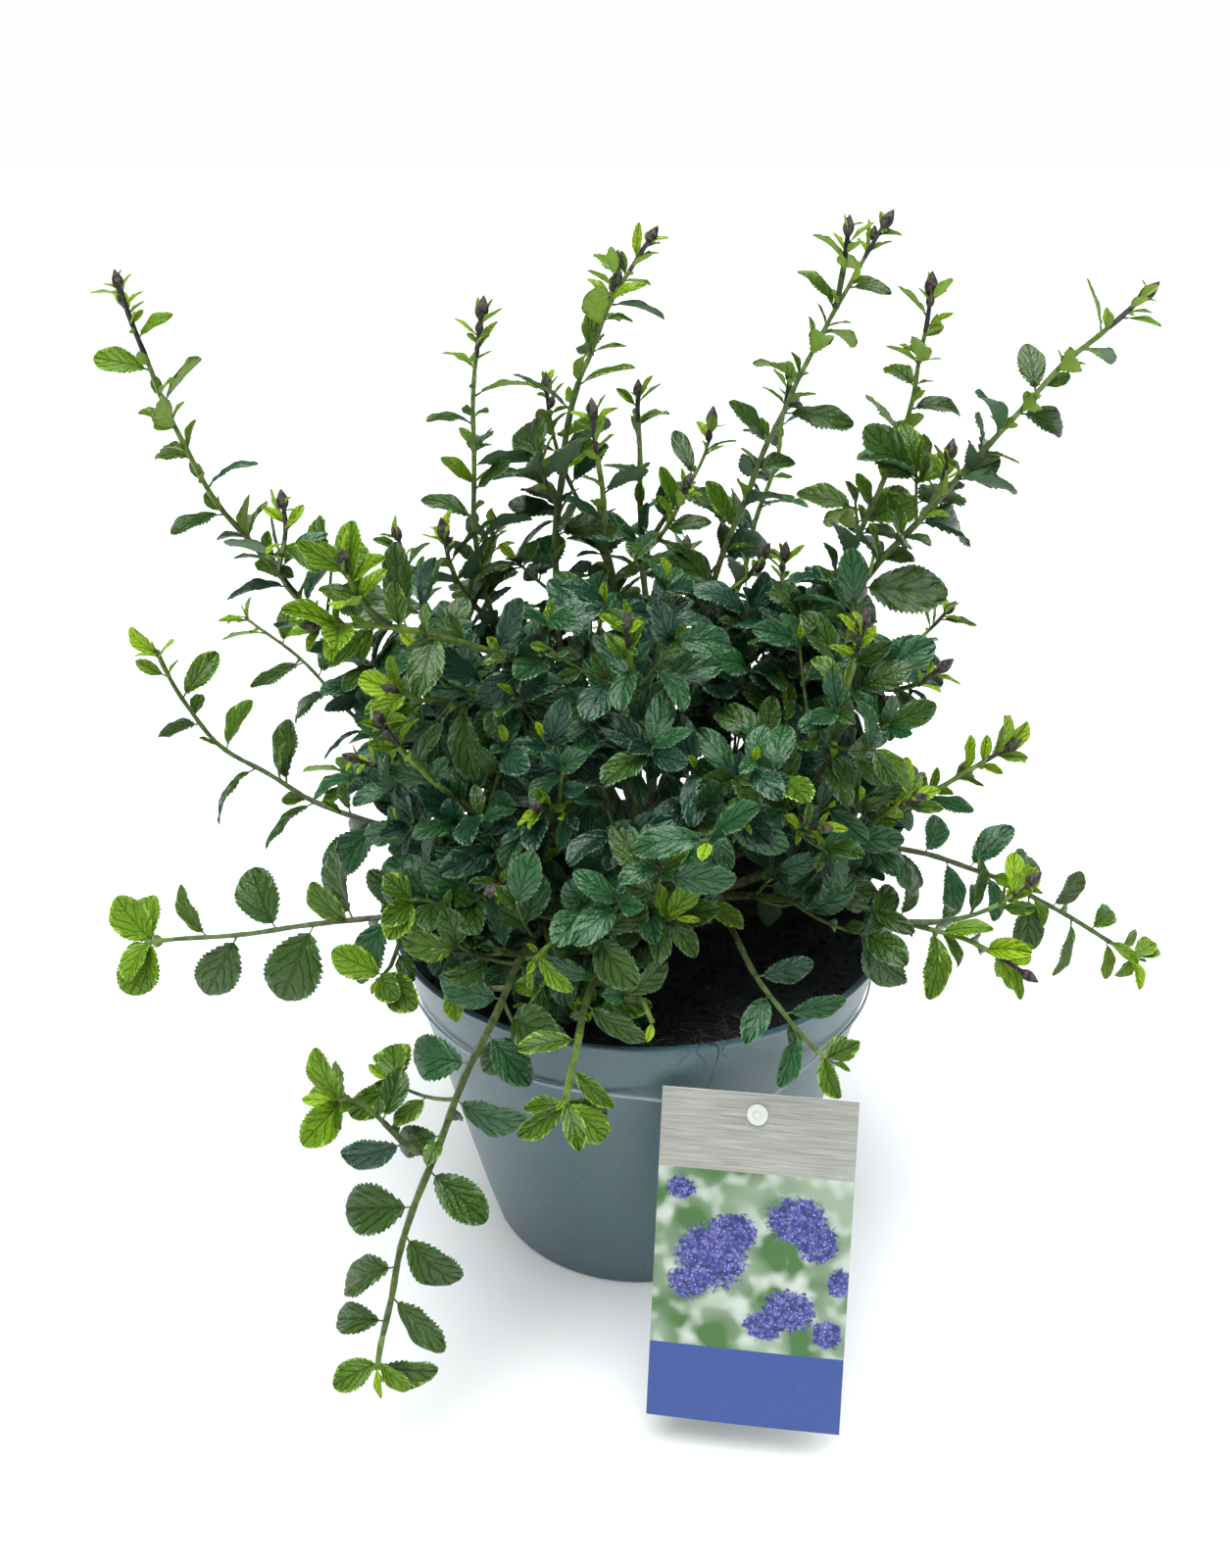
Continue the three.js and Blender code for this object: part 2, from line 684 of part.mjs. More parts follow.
// All that one mass bears, by its seed: spurs of leaves in the dome, and single leaves along the long shoots.
function growthOf(plant) {
  const random = seeded(plant.seed);
  const between = (low, high) => lerp(low, high, random());
  const twigs = [];
  const leaves = [];
  const taken = []; // the points of each grown leaf so far

  // A leaf that doesn't fit is tried smaller, and left out where there is no room.
  const bear = (leaf) => {
    for (const share of LEAF.shares) {
      const tried = { ...leaf, length: leaf.length * share, width: leaf.width * share };
      const points = leafPoints(tried);
      if (points.some((point) => nearest(point, taken.flat()) < LEAF.room)) continue;
      if (!fits(points, plant)) continue;
      leaves.push(tried);
      taken.push(points);
      return;
    }
  };

  // A blade's own length and tilt.
  const bladeOf = (full) => ({
    length: full * between(...LEAF.lengthVaries),
    tilt: between(-LEAF.tiltVaries, LEAF.tiltVaries),
  });

  // A short straight twig with a leaf on each side by turns and one at its tip.
  const growSpur = (place, frame, roll, full) => {
    const slope = between(SPUR.slope - SPUR.slopeVaries, SPUR.slope + SPUR.slopeVaries);
    const wanted = between(SPUR.shortest, SPUR.longest);
    const along = directionOff(frame, roll, slope);
    const pointAt = (reach) => place.clone().addScaledVector(along, reach);
    const isFree = (length) => fits(SPUR.tested.map((share) => pointAt(length * share)), plant);
    const length = SPUR.tries.map((share) => share * wanted).find(isFree);
    if (!length) return false;
    const tip = pointAt(length);
    const [spurFrame] = framesOf([place, tip]);
    const leavesBefore = leaves.length;
    const takenBefore = taken.length;
    const nodes = Math.max(1, Math.round(length / SPUR.spacing));
    for (let i = 1; i <= nodes; i++) {
      const spot = pointAt((length * i) / (nodes + SPUR.overhang));
      const turn = 180 * (i % 2) + between(-SPUR.turnVaries, SPUR.turnVaries);
      bear(leafAt(spot, spurFrame, { roll: turn, slope: LEAF.slope, ...bladeOf(full) }));
    }
    const end = pointAt(length * SPUR.tipSeat);
    bear(leafAt(end, spurFrame, { roll: 90, slope: between(...SPUR.tipSlope), ...bladeOf(full) }));
    if (leaves.length - leavesBefore < SPUR.fewest) {
      leaves.length = leavesBefore;
      taken.length = takenBefore;
      return false;
    }
    twigs.push(limb([place, tip], SPUR.rootRadius, 0, STEM.sides));
    return true;
  };

  // A bud at the tip of a stem, held by young leaves.
  const growTip = (end, frame, roll, youngLeaves) => {
    const root = end.clone().addScaledVector(frame.tangent, -BUD.sunk);
    if (inDome(root)) {
      bear(leafAt(root, frame, { roll, slope: LEAF.tipSlope, length: LEAF.length }));
      return;
    }
    const size = { length: BUD.length, width: BUD.breadth, thickness: BUD.breadth };
    leaves.push({ root, along: frame.tangent, normal: frame.up, ...size, pointed: true });
    for (let i = 1; i <= youngLeaves; i++) {
      const length = YOUNG.length * between(...YOUNG.lengthVaries);
      const shape = { roll: roll + 180 * i, slope: between(...YOUNG.spread), length, breadth: YOUNG.breadth };
      const spot = root.clone().addScaledVector(frame.tangent, -BUD.spacing * i);
      const young = { ...leafAt(spot, frame, shape), pointed: true };
      if (fits(leafPoints(young), plant)) leaves.push(young);
    }
  };

  // A stem along a curve: nodes that bear spurs or leaves, and the growing tip.
  const growStem = (curve, from, radius, youngLeaves) => {
    const line = pointsAlong(curve, from, 1, NODE_SHARES.length * LEAF.spacing);
    twigs.push(limb(line, radius, STEM.tipRadius, STEM.sides, { rootTangent: curve.getTangentAt(from) }));
    const nodesOn = (start, end) => NODE_SHARES.map((share) => start.clone().lerp(end, share));
    const places = line.slice(1).flatMap((end, i) => nodesOn(line[i], end));
    const last = places.length;
    places.push(line[line.length - 1]);
    const frames = framesOf(places);
    let roll = between(0, 360);
    for (let i = 0; i < last; i++) {
      roll += GOLDEN_ANGLE;
      const youth = Math.max(0, 1 - (last - i) / YOUNG.nodes);
      const full = lerp(inDome(places[i]) ? LEAF.domeLength : LEAF.length, YOUNG.length, youth);
      const slope = lerp(LEAF.slope, YOUNG.slope, youth);
      if (inDome(places[i]) && growSpur(places[i], frames[i], roll, full)) continue;
      bear(leafAt(places[i], frames[i], { roll, slope, ...bladeOf(full) }));
    }
    growTip(places[last], frames[last], roll, youngLeaves);
  };

  growStem(plant.trunkLine, plant.start, BOUGH.tipRadius, BUD.leaves);
  for (const curve of plant.branches) growStem(curve, 0, FORK.rootRadius, 0);
  return { twigs, leaves };
}

function boughOf({ name, trunkLine, bare }) {
  const line = pointsAlong(trunkLine, 0, bare, BOUGH.step);
  const ends = { rootTangent: trunkLine.getTangentAt(0), tipTangent: trunkLine.getTangentAt(bare) };
  const solid = limb(line, BOUGH.rootRadius, BOUGH.tipRadius, BOUGH.sides, ends);
  return meshOf("bough_" + name, solid, materials.bough);
}

function massOf(plant) {
  const { twigs, leaves } = growthOf(plant);
  const joined = wasm.Manifold.union([...twigs, ...leaves.map(blade)]);
  return meshOf("foliage_" + plant.name, joined, materials.foliage);
}

// ---- The plant in its pot ----

const root = new THREE.Group();
label.add(card(), button());
root.add(pot(), compost(), label, band(), collar());
for (const plant of plants) root.add(boughOf(plant), massOf(plant));

export default root;
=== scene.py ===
import math
from collections import defaultdict
from types import SimpleNamespace

import bpy
import numpy as np
from mathutils import Euler, Matrix, Vector, noise


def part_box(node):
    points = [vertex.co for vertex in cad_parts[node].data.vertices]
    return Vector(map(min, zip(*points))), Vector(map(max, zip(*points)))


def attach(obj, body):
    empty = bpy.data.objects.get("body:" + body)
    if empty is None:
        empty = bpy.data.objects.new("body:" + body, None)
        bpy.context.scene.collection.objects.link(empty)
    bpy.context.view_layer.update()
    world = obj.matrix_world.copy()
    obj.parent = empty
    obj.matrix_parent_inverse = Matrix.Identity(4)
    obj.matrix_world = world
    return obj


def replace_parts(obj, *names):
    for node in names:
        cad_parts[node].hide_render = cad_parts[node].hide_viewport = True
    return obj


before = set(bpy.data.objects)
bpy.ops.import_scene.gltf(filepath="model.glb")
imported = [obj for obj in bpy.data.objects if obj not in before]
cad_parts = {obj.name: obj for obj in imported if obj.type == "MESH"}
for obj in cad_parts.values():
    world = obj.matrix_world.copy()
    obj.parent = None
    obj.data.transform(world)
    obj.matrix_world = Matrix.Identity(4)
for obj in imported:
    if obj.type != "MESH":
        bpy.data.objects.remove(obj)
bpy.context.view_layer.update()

MM = 0.001  # the plant's own sizes below are in millimetres, and its angles in degrees

# The stems wander by a vector noise, which is a new one at each start of Blender unless it is seeded.
WANDER_SEED = 1795517471
noise.seed_set(WANDER_SEED)

# ---- Sizes, as the frame has them ----

_, pot_high = [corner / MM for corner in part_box("pot")]
compost_low, compost_high = [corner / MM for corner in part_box("compost")]
collar_low, collar_high = [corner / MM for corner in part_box("root_collar")]
band_low, band_high = [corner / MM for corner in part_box("label_band")]

GAP = 0.3  # the room between a piece and its neighbour
BEAD = 1.0  # how far the bead stands out of the pot's wall
POT = SimpleNamespace(
    height=pot_high.z,
    rim=pot_high.x - BEAD,
    base=62.0,
    foot_round=2.0,
    bead_height=3.0,
    bead_round=0.6,
    wall=1.4,
    wall_rings=11,
    floor=compost_low.z - GAP,
    drains=6,
    drain_radius=4.5,
    drain_circle=42.0,
    sides=128,
)
COMPOST = SimpleNamespace(top=compost_high.z, edge_top=125.0, sunk=1.2, flat_radius=64.0, sides=112, rings=26)
# Lumps of two kinds: their height, their width and the level at which their noise is read.
LUMPS = ((1.6, 9.0, 0.0), (0.8, 3.2, 50.0))
CRUMB = SimpleNamespace(
    count=1700, sizes=(0.5, 2.1), rough=0.35, least_width=0.6, heights=(0.5, 0.9), raised=0.2
)
ROOTLET = SimpleNamespace(
    count=170, steps=7, step=(1.5, 3.5), bend=55.0, thickness=(0.12, 0.26), end=0.07, raised=(0.2, 1.2)
)
# Nearly half of the rootlets lie at the front, between these radii from the middle and from the wall.
FRONT_ROOTLETS = SimpleNamespace(share=0.45, from_middle=60.0, from_wall=4.0, bearings=(255, 300))
# Roots that hang over the rim: the bearing of each, how far it hangs and its thickness.
HANGING_ROOTS = ((283.5, 19, 0.55), (281.0, 9, 0.26), (277.5, 7, 0.2), (286.0, 6, 0.18))
LABEL = SimpleNamespace(
    width=65.0,
    height=114.0,
    thickness=0.5,
    bow=0.5,  # how far its foot's corners curl back
    centre=(35.5, -119.0, 67.5),
    yaw=-7.6,
    lean=21.0,
    hole_radius=2.5,
    hole_across=32.0,
    hole_down=7.0,
)
BUTTON = SimpleNamespace(head=3.6, thickness=0.9, shank=2.0, sides=40)
BAND = SimpleNamespace(width=1.3, thickness=0.8, ease=0.2, off_pot=0.25, off_button=0.6, steps=160)
COLLAR = SimpleNamespace(
    foot=collar_low.z,
    height=collar_high.z - collar_low.z,
    lean=(2.0, -1.5),
    profile=((15.0, 0.0), (12.0, 2.8), (9.5, 12.0), (8.5, 30.0), (8.5, 40.0)),
    rings=36,
    sides=72,
)

# ---- How the plant grows ----

TIERS = ((38, 12, 0), (62, 25, 12), (90, 40, 0))  # steepest pitch, height on the collar, turn
TOP_RING = 6.0  # the radius on which the steepest boughs stand on the collar's top
GOLDEN_ANGLE = 137.5
BOUGH = SimpleNamespace(length=42.0, root=2.2, tip=1.7, ring=1.4, sides=14, furrow=0.09)
# A stem's body, the points of its line, and how far and in what waves that line wanders.
STEM = SimpleNamespace(
    tip=0.85, ring=4.0, sides=8, ridge=0.1, swell=0.09, pull=0.38, steps=160, room_step=2.0, wander=2.2,
    wave=26.0,
)
# A fork's root, its tip and its dusky part as shares of a main shoot's, and where its leaves begin.
FORK = SimpleNamespace(root=1.35, tip=0.85, dusky=0.6, bare=4.0)

LEAF = SimpleNamespace(
    length=22.0,
    breadth=0.5,
    thickness=0.32,
    slope=64.0,
    lift=0.12,
    spacing=13.5,
    petiole=2.6,
    petiole_radius=0.42,
    petiole_sides=4,
    quilt=0.75,
    tooth=0.045,
    ruffle=0.4,
    cup=0.03,
    ripple=0.03,
    ripples=1.7,
    shrinks=(1, 0.8, 0.62),  # the sizes that it tries for room
    small=13.0,  # the length under which it has the simpler form
)
# How leaves vary: their turn off the light, their arch, fold, breadth and twist.
VARIES = SimpleNamespace(
    turn=(-38, 38), arch=(0.2, 1.2), fold=(0.02, 0.42), breadth=(0.86, 1.1), twist=(-0.35, 0.35)
)
YOUNG = SimpleNamespace(nodes=4, size=0.5, breadth=0.34, slope=38.0, tone=2.2)
# The nodes of a stem: they start just under its tip and crowd together there.
NODE = SimpleNamespace(
    first=1.5, last=3.0, crowding=0.8, crowded=1.8, varies=(0.85, 1.15), slopes=(-9, 9), turn=22.0
)
# The smaller leaves from the bud in each leaf's axil.
COMPANY = SimpleNamespace(
    tries=3, slopes=(30, 66), turns=(40, 110), sizes=(0.38, 0.72), breadth=0.84, spread=(0.5, 3.5), tone=0.8
)
STIPULE = SimpleNamespace(
    turns=(-60, 60), slope=40, off_stem=0.5, lengths=(1.2, 2.0), half_width=0.45, thickness=0.3
)
# A short side twig, its leaves, and the chances of a second leaf at each and of quite new ones at its tip.
SPUR = SimpleNamespace(
    lengths=(12.0, 34.0), slope=54.0, slope_varies=14.0, rise=(0.1, 0.5), root=0.75, tip=0.5, steps=6,
    sides=5, shrinks=(1, 0.7, 0.45), spacing=8.0, turn=40.0, sizes=(0.72, 1.12), second=0.6, bright=0.32,
)
OPEN_SPUR_LENGTHS = (11.0, 26.0)  # of spurs outside the dome
# The leaves at a spur's tip.
TUFT = SimpleNamespace(leaves=5, slopes=(28, 78), sizes=(0.35, 0.95), turn=15.0, spread=(0, 4))
# A flower bud's size, and the young leaves that hold it.
BUD = SimpleNamespace(sizes=(0.66, 0.86), second_size=0.55, spur_sizes=(0.5, 0.7), sunk=0.8)
CREST = SimpleNamespace(leaves=9, slopes=(14, 66), sizes=(6, 12.5), breadth=0.34, spread=(0.5, 12))
# A leafy tip: its outer leaves, and the newest ones in its heart.
ROSETTE = SimpleNamespace(leaves=5, slopes=(40, 80), sizes=(10, 16), turn=34.0, spread=(0.2, 3), tone=1.2)
HEART = SimpleNamespace(leaves=4, slopes=(10, 30), size=6.5, breadth=0.42)

# The dense dome of the bush: within it, each node bears two spurs, at these turns from its leaf.
DOME = SimpleNamespace(radius=80.0, top=229.0, falls=0.4, foot=114.0, spur_turns=(70, -110))
LIGHT = SimpleNamespace(up=0.9, front=0.5, out=0.5)
# Leaves are lighter outward, up to a reach from the pot's axis, and upward, over a rise from a height:
# painted shade and light, darker in the bush's shaded middle and lighter where more light falls, over the
# leaves' own lighter green outside and on top. Along is how soon a shoot's own tone is there in full.
TONE = SimpleNamespace(least=0.44, outward=0.5, reach=190, upward=1.2, above=220, rise=120, along=1.25)
CLEAR = SimpleNamespace(pot=1.6, label=2.0, leaf=2.1, stem=1.6, collar=1.0)
# Open ways through the foliage to the compost: the place of each foot, its radius, and the way they all lean.
GAPS = ((53.0, -42.0, 24.0), (18.0, -58.0, 13.0))
GAP_WAY = (-0.1, -0.84, 0.53)
GAP_LENGTH = 130.0
# Shoots that lie bare on the outside of the bush: from and to, along each, and the room beside them.
BARE_STEMS = {"front_droop": (40.0, 112.0), "front": (86.0, 128.0)}
BARE_ROOM = 4.5
BARE_LENGTH = 60.0


def shoot(bearing, reach, height, leave, arrive, out=None, end=None):
    """A shoot: its tip round the pot's axis, and its pitches where it sets out and at its tip.

    It sets out to and ends towards the bearing of its tip, unless it has bearings of its own for that."""
    out = bearing if out is None else out
    end = bearing if end is None else end
    return SimpleNamespace(
        bearing=bearing, reach=reach, height=height, leave=leave, arrive=arrive, out=out, end=end
    )


def fork(share, *tip):
    """A side shoot that forks off its main shoot a share of the way along."""
    side = shoot(*tip)
    side.share = share
    return side


# Each mass: its main shoot, then its forks.
MASSES = {
    "upper_left": [
        shoot(173, 178, 362, 38, 82, end=181),
        fork(0.58, 180, 124, 293, 50, 84),
        fork(0.3, 190, 104, 206, 0, 30),
    ],
    "left": [shoot(180, 175, 241, 34, 76, end=182), fork(0.28, 158, 172, 232, 36, 26)],
    "left_level": [shoot(199, 183, 155, 34, 0, end=188), fork(0.5, 217, 115, 146, -10, -5)],
    "front_droop": [
        shoot(238, 166, 42, 62, -78), fork(0.66, 231, 154, 134, -30, 5), fork(0.36, 222, 106, 178, 0, 0),
    ],
    "front": [
        shoot(258, 124, 133, 55, -62),
        fork(0.5, 275, 86, 180, 10, 25),
        fork(0.62, 271, 106, 154, -10, -28),
        fork(0.45, 250, 104, 172, 0, -10),
    ],
    "front_right": [shoot(298, 125, 142, 46, -25, end=332)],
    "right_front": [shoot(332, 147, 149, 38, -25, end=333), fork(0.72, 339, 142, 173, 10, 55)],
    "far_right": [shoot(2, 202, 106, 30, -34, end=355)],
    "right": [shoot(351, 130, 211, 24, 37, end=356), fork(0.4, 330, 104, 206, 10, 30)],
    "right_inner": [shoot(324, 85, 266, 60, 86), fork(0.36, 308, 92, 206, 0, 20)],
    "upper_right": [
        shoot(0, 160, 361, 62, 43, end=2), fork(0.62, 4, 105, 308, 60, 85), fork(0.34, 344, 104, 244, 10, 50),
    ],
    "upper_right_inner": [shoot(20, 106, 359, 63, 90, end=38)],
    "top_right": [
        shoot(31, 98, 380, 80, 52, end=28),
        fork(0.86, 30, 81, 378, 80, 88),
        fork(0.35, 13, 43, 272, 80, 70),
    ],
    "top": [shoot(88, 56, 375, 63, 50, out=140, end=29), fork(0.8, 101, 51, 366, 60, 86)],
    "top_left": [shoot(162, 58, 353, 54, 101, end=164), fork(0.5, 176, 70, 281, 40, 86)],
    "centre_top": [
        shoot(131, 27, 320, 84, 80), fork(0.6, 125, 61, 324, 60, 88), fork(0.6, 350, 14, 300, 60, 75),
    ],
    "near_left": [
        shoot(223, 131, 280, 82, 12, out=230),
        fork(0.86, 222, 119, 295, 40, 80),
        fork(0.5, 205, 92, 240, 10, 40),
    ],
    "centre": [
        shoot(264, 60, 270, 78, 62), fork(0.4, 246, 84, 216, 10, 30), fork(0.4, 290, 84, 214, 0, 30),
    ],
    "low_left": [shoot(224, 113, 245, 39, 61, end=214), fork(0.36, 240, 96, 190, 10, 10)],
    "back_top": [shoot(91, 70, 319, 68, 76), fork(0.6, 71, 85, 306, 60, 80)],
    "back_right": [shoot(29, 143, 233, 46, 40), fork(0.5, 56, 108, 250, 60, 70)],
    "back_right_low": [shoot(54, 180, 138, 30, -22), fork(0.6, 44, 144, 156, 0, 20)],
    "back": [shoot(82, 172, 232, 40, 52), fork(0.4, 98, 132, 214, 10, 30)],
    "back_droop": [shoot(106, 162, 66, 56, -76), fork(0.66, 92, 156, 140, -30, 0)],
    "back_left_low": [shoot(134, 186, 134, 30, -14), fork(0.55, 150, 150, 160, 0, 25)],
    "back_left": [
        shoot(138, 134, 258, 50, 66), fork(0.6, 124, 108, 264, 60, 84), fork(0.36, 146, 100, 214, 10, 40),
    ],
    "back_upper": [shoot(62, 132, 318, 58, 74), fork(0.4, 74, 98, 236, 10, 50)],
}

# Finer twigs within the masses, which close the bush over the pot's rim: each forks off the main shoot too.
TWIGS = {
    "front": [fork(0.34, 262, 88, 150, 0, -20), fork(0.4, 246, 98, 146, -5, -25)],
    "front_droop": [fork(0.3, 250, 84, 152, 0, -15), fork(0.42, 230, 98, 150, -5, -20)],
    "low_left": [fork(0.3, 222, 98, 158, 0, -25)],
}

# How a mass grows where it has no way of its own.
USUAL = dict(
    size=1.0,  # of its leaves
    breadth=LEAF.breadth,
    spacing=LEAF.spacing,
    cluster=(1, 3),  # the fewest and the most small leaves beside each leaf
    tone=0.0,  # how much lighter its leaves are
    varies=0.8,  # how far their tones stray
    front=LIGHT.front,  # how much they face the front
    flat=False,  # whether they stand to two sides of the shoot
    bare=0.0,  # the share of the shoot before its first leaf
    least=0.8,  # the size of leaves near the tip, which come to full size over the grade
    grade=40.0,
    young=1.0,  # how much smaller and narrower the youngest are
    bud=True,  # whether its tips end in a flower bud
    crest=1.0,  # the size and the tone of the leaves at its tip
    glow=2.6,
    spurs=0.2,  # the chance of a side twig at each node, up to the inner share of the shoot
    inner=1.0,
    stout=1.0,  # the stem's thickness at its tip, and how soon it tapers
    slim=0.6,
    green=0.4,  # how far along the stem turns green, fresh green, and dusky under the bud
    fresh=0.75,
    dusky=10.0,
    crosses=False,  # whether it keeps its leaves in the open ways to the compost
)
# The lax shoots round the foot have larger and rounder leaves, turned to the light, and no flower bud.
LAX = dict(bud=False, flat=True, spurs=0.0, green=0.55, fresh=0.93, varies=0.42, young=0.3)
# The steep shoots that stand out of the top carry their leaves in the open.
STEEP = dict(
    front=0.45, tone=0.55, size=1.16, breadth=0.6, grade=120.0, least=0.62, spacing=11.0, inner=0.62,
    dusky=13.0,
)


def habit(kind=None, **ways):
    """How one mass grows: as usual, apart from the ways of its kind and its own."""
    return SimpleNamespace(**{**USUAL, **(kind or {}), **ways})


HABITS = defaultdict(
    habit,
    upper_left=habit(STEEP, dusky=22.0),
    upper_right=habit(STEEP, spacing=9.5, spurs=0.45),
    upper_right_inner=habit(STEEP, spacing=9.5, spurs=0.4),
    top_right=habit(STEEP),
    top=habit(STEEP),
    top_left=habit(STEEP),
    centre_top=habit(STEEP),
    left=habit(LAX, spacing=13, cluster=(0, 1), tone=1.3, slim=0.4),
    left_level=habit(
        LAX, size=1.1, breadth=0.7, spacing=14, cluster=(0, 1), tone=1.15, front=1.7, slim=0.4, crest=1.1
    ),
    front_droop=habit(
        LAX, spurs=0.6, inner=0.6, size=0.96, breadth=0.62, spacing=11.5, cluster=(0, 1), tone=1.1, front=1.4,
        stout=1.3, crest=1.25,
    ),
    front=habit(
        flat=True, cluster=(1, 2), tone=0.9, front=0.9, bud=False, spurs=0.4, crest=1.15, stout=1.25,
        slim=0.35,
    ),
    front_right=habit(
        LAX, size=0.84, spacing=9, cluster=(0, 1), tone=0.5, front=0.9, bare=0.62, slim=0.25, crosses=True,
    ),
    far_right=habit(LAX, size=0.92, breadth=0.6, spacing=10, cluster=(0, 1), tone=1.3, front=1.3, slim=0.4),
    right_front=habit(cluster=(1, 2), tone=1.1, front=1.1, spurs=0.15, crest=1.4),
    right=habit(cluster=(1, 2), tone=1.3, front=1.1, spurs=0.15, crest=1.4),
    right_inner=habit(tone=0.8, front=0.9),
    near_left=habit(tone=0.4, crest=1.6, glow=1.9, dusky=4.0),
    low_left=habit(tone=0.3, front=0.7),
    back_top=habit(cluster=(0, 2), spurs=0.1, front=0.9),
    back_upper=habit(cluster=(0, 2), spurs=0.1),
    back_left=habit(cluster=(0, 2), spurs=0.1),
    back_right=habit(cluster=(0, 2), spurs=0.3, size=1.1),
    back=habit(cluster=(0, 2), spurs=0.1),
    back_droop=habit(LAX, size=0.9, breadth=0.64, spacing=11, cluster=(0, 2), tone=1.0),
    back_left_low=habit(LAX, breadth=0.62, cluster=(0, 1), tone=1.0),
    back_right_low=habit(LAX, breadth=0.62, cluster=(0, 1), tone=0.8),
)

# Leaves by tone, from the shaded middle to the growing tips: the piece, its blade, its veins and its gloss.
# The darker tones carry painted shade, and the vein colours are partly painted shade in the sunken veins.
TONES = (
    ("leaves_deep", "#08241a", "#05150e", 0.72),
    ("leaves_dark", "#0f3323", "#081e13", 0.75),
    ("leaves_shade", "#1f4724", "#112a14", 0.65),
    ("leaves_mid", "#294412", "#172c0b", 0.55),
    ("leaves_bright", "#3d5b12", "#273f0b", 0.42),
    ("leaves_fresh", "#597a15", "#3d5a0d", 0.3),
    ("leaves_young", "#7c9c1e", "#5a7612", 0.2),
)
YOUNGEST = 4.0  # the tone of the newest leaves, where the deepest is 0
GROWN_TONES = 4  # how many of the tones are those of old leaves, with a pale underside

# ---- Small helpers ----


def srgb(code):
    """An sRGB hex colour as linear red, green, blue and alpha."""
    channels = [int(code[i:i + 2], 16) / 255 for i in (1, 3, 5)]
    return [c / 12.92 if c <= 0.04045 else ((c + 0.055) / 1.055) ** 2.4 for c in channels] + [1.0]


def add(tree, kind, inputs=None, **settings):
    """Adds a node with its settings. An input is a value, a hex colour, or the socket or node it reads."""
    node = tree.nodes.new("ShaderNode" + kind)
    for name, value in settings.items():
        setattr(node, name, value)
    for name, value in (inputs or {}).items():
        if isinstance(value, bpy.types.Node):
            value = next(socket for socket in value.outputs if socket.enabled)
        if isinstance(value, bpy.types.NodeSocket):
            tree.links.new(value, node.inputs[name])
        else:
            node.inputs[name].default_value = srgb(value) if isinstance(value, str) else value
    return node


def substance(name):
    """A new material, its empty node tree, and the object's own coordinates in it."""
    made = bpy.data.materials.new(name)
    made.use_nodes = True
    tree = made.node_tree
    tree.nodes.clear()
    return made, tree, add(tree, "TexCoord").outputs["Object"]


def surface(tree, sockets):
    """Ends a material in a Principled shader with these sockets."""
    add(tree, "OutputMaterial", {"Surface": add(tree, "BsdfPrincipled", sockets)})


def two_toned(tree, pattern, stretch, first, second):
    """A colour that turns to another as a pattern's height goes through a stretch."""
    low, high = stretch
    share = add(tree, "MapRange", {"Value": pattern, "From Min": low, "From Max": high})
    return add(tree, "Mix", {0: share, 6: first, 7: second}, data_type="RGBA")


def per_metre(size):
    """How many grains of a size in millimetres lie side by side in a metre."""
    return 1 / (size * MM)


def mottled(name, dark, light, grain, detail, sockets, stretch=(0.0, 1.0), rough=0.5, drawn=1.0, relief=None):
    """A substance in two colours by a noise with grains of a size in millimetres.

    Detail and rough are the finer grains' number and strength. Below 1, drawn draws the grains out upwards.
    Relief is how strongly and how far, in millimetres, they stand up."""
    made, tree, place = substance(name)
    spread = add(tree, "Mapping", {"Vector": place, "Scale": (1, 1, drawn)})
    grains = add(
        tree, "TexNoise", {"Vector": spread, "Scale": per_metre(grain), "Detail": detail, "Roughness": rough}
    )
    looks = {"Base Color": two_toned(tree, grains, stretch, dark, light), **sockets}
    if relief:
        strength, height = relief
        looks["Normal"] = add(tree, "Bump", {"Height": grains, "Strength": strength, "Distance": height * MM})
    surface(tree, looks)
    return made


def lerp(low, high, share):
    return low + (high - low) * share


def unit(vector):
    return vector / np.linalg.norm(vector)


def heading(bearing, pitch=0.0):
    """The unit vector that points to a bearing, raised by a pitch."""
    turn, rise = math.radians(bearing), math.radians(pitch)
    return np.array([math.cos(turn) * math.cos(rise), math.sin(turn) * math.cos(rise), math.sin(rise)])


def seeded(seed):
    """Random numbers from 0 to 1, the same for the same seed, by the mulberry32 rule."""
    mask = 0xFFFFFFFF
    state = seed

    def draw():
        nonlocal state
        state = (state + 0x6D2B79F5) & mask
        mixed = ((state ^ (state >> 15)) * (state | 1)) & mask
        mixed = ((mixed + (((mixed ^ (mixed >> 7)) * (mixed | 61)) & mask)) & mask) ^ mixed
        return (mixed ^ (mixed >> 14)) / 2**32

    return draw


class Path:
    """A line through points in millimetres, read by the distance along it."""

    def __init__(self, points):
        self.points = np.asarray(points, float)
        steps = np.linalg.norm(np.diff(self.points, axis=0), axis=1)
        self.marks = np.concatenate([[0.0], np.cumsum(steps)])
        self.length = self.marks[-1]

    def at(self, distance):
        return np.stack([np.interp(distance, self.marks, axis) for axis in self.points.T], axis=-1)


def frames_of(points):
    """Cross-wise frames carried along a line of points without twisting: tangent, across and up."""
    steps = np.gradient(np.asarray(points, float), axis=0)
    tangents = steps / np.linalg.norm(steps, axis=1)[:, None]
    level = np.array([-tangents[0][1], tangents[0][0], 0.0])
    across = unit(level) if np.linalg.norm(level) > 1e-3 else np.array([1.0, 0.0, 0.0])
    frames = []
    for tangent in tangents:
        across = unit(across - tangent * across.dot(tangent))
        frames.append((tangent, across, np.cross(tangent, across)))
    return frames


# ---- Meshes ----


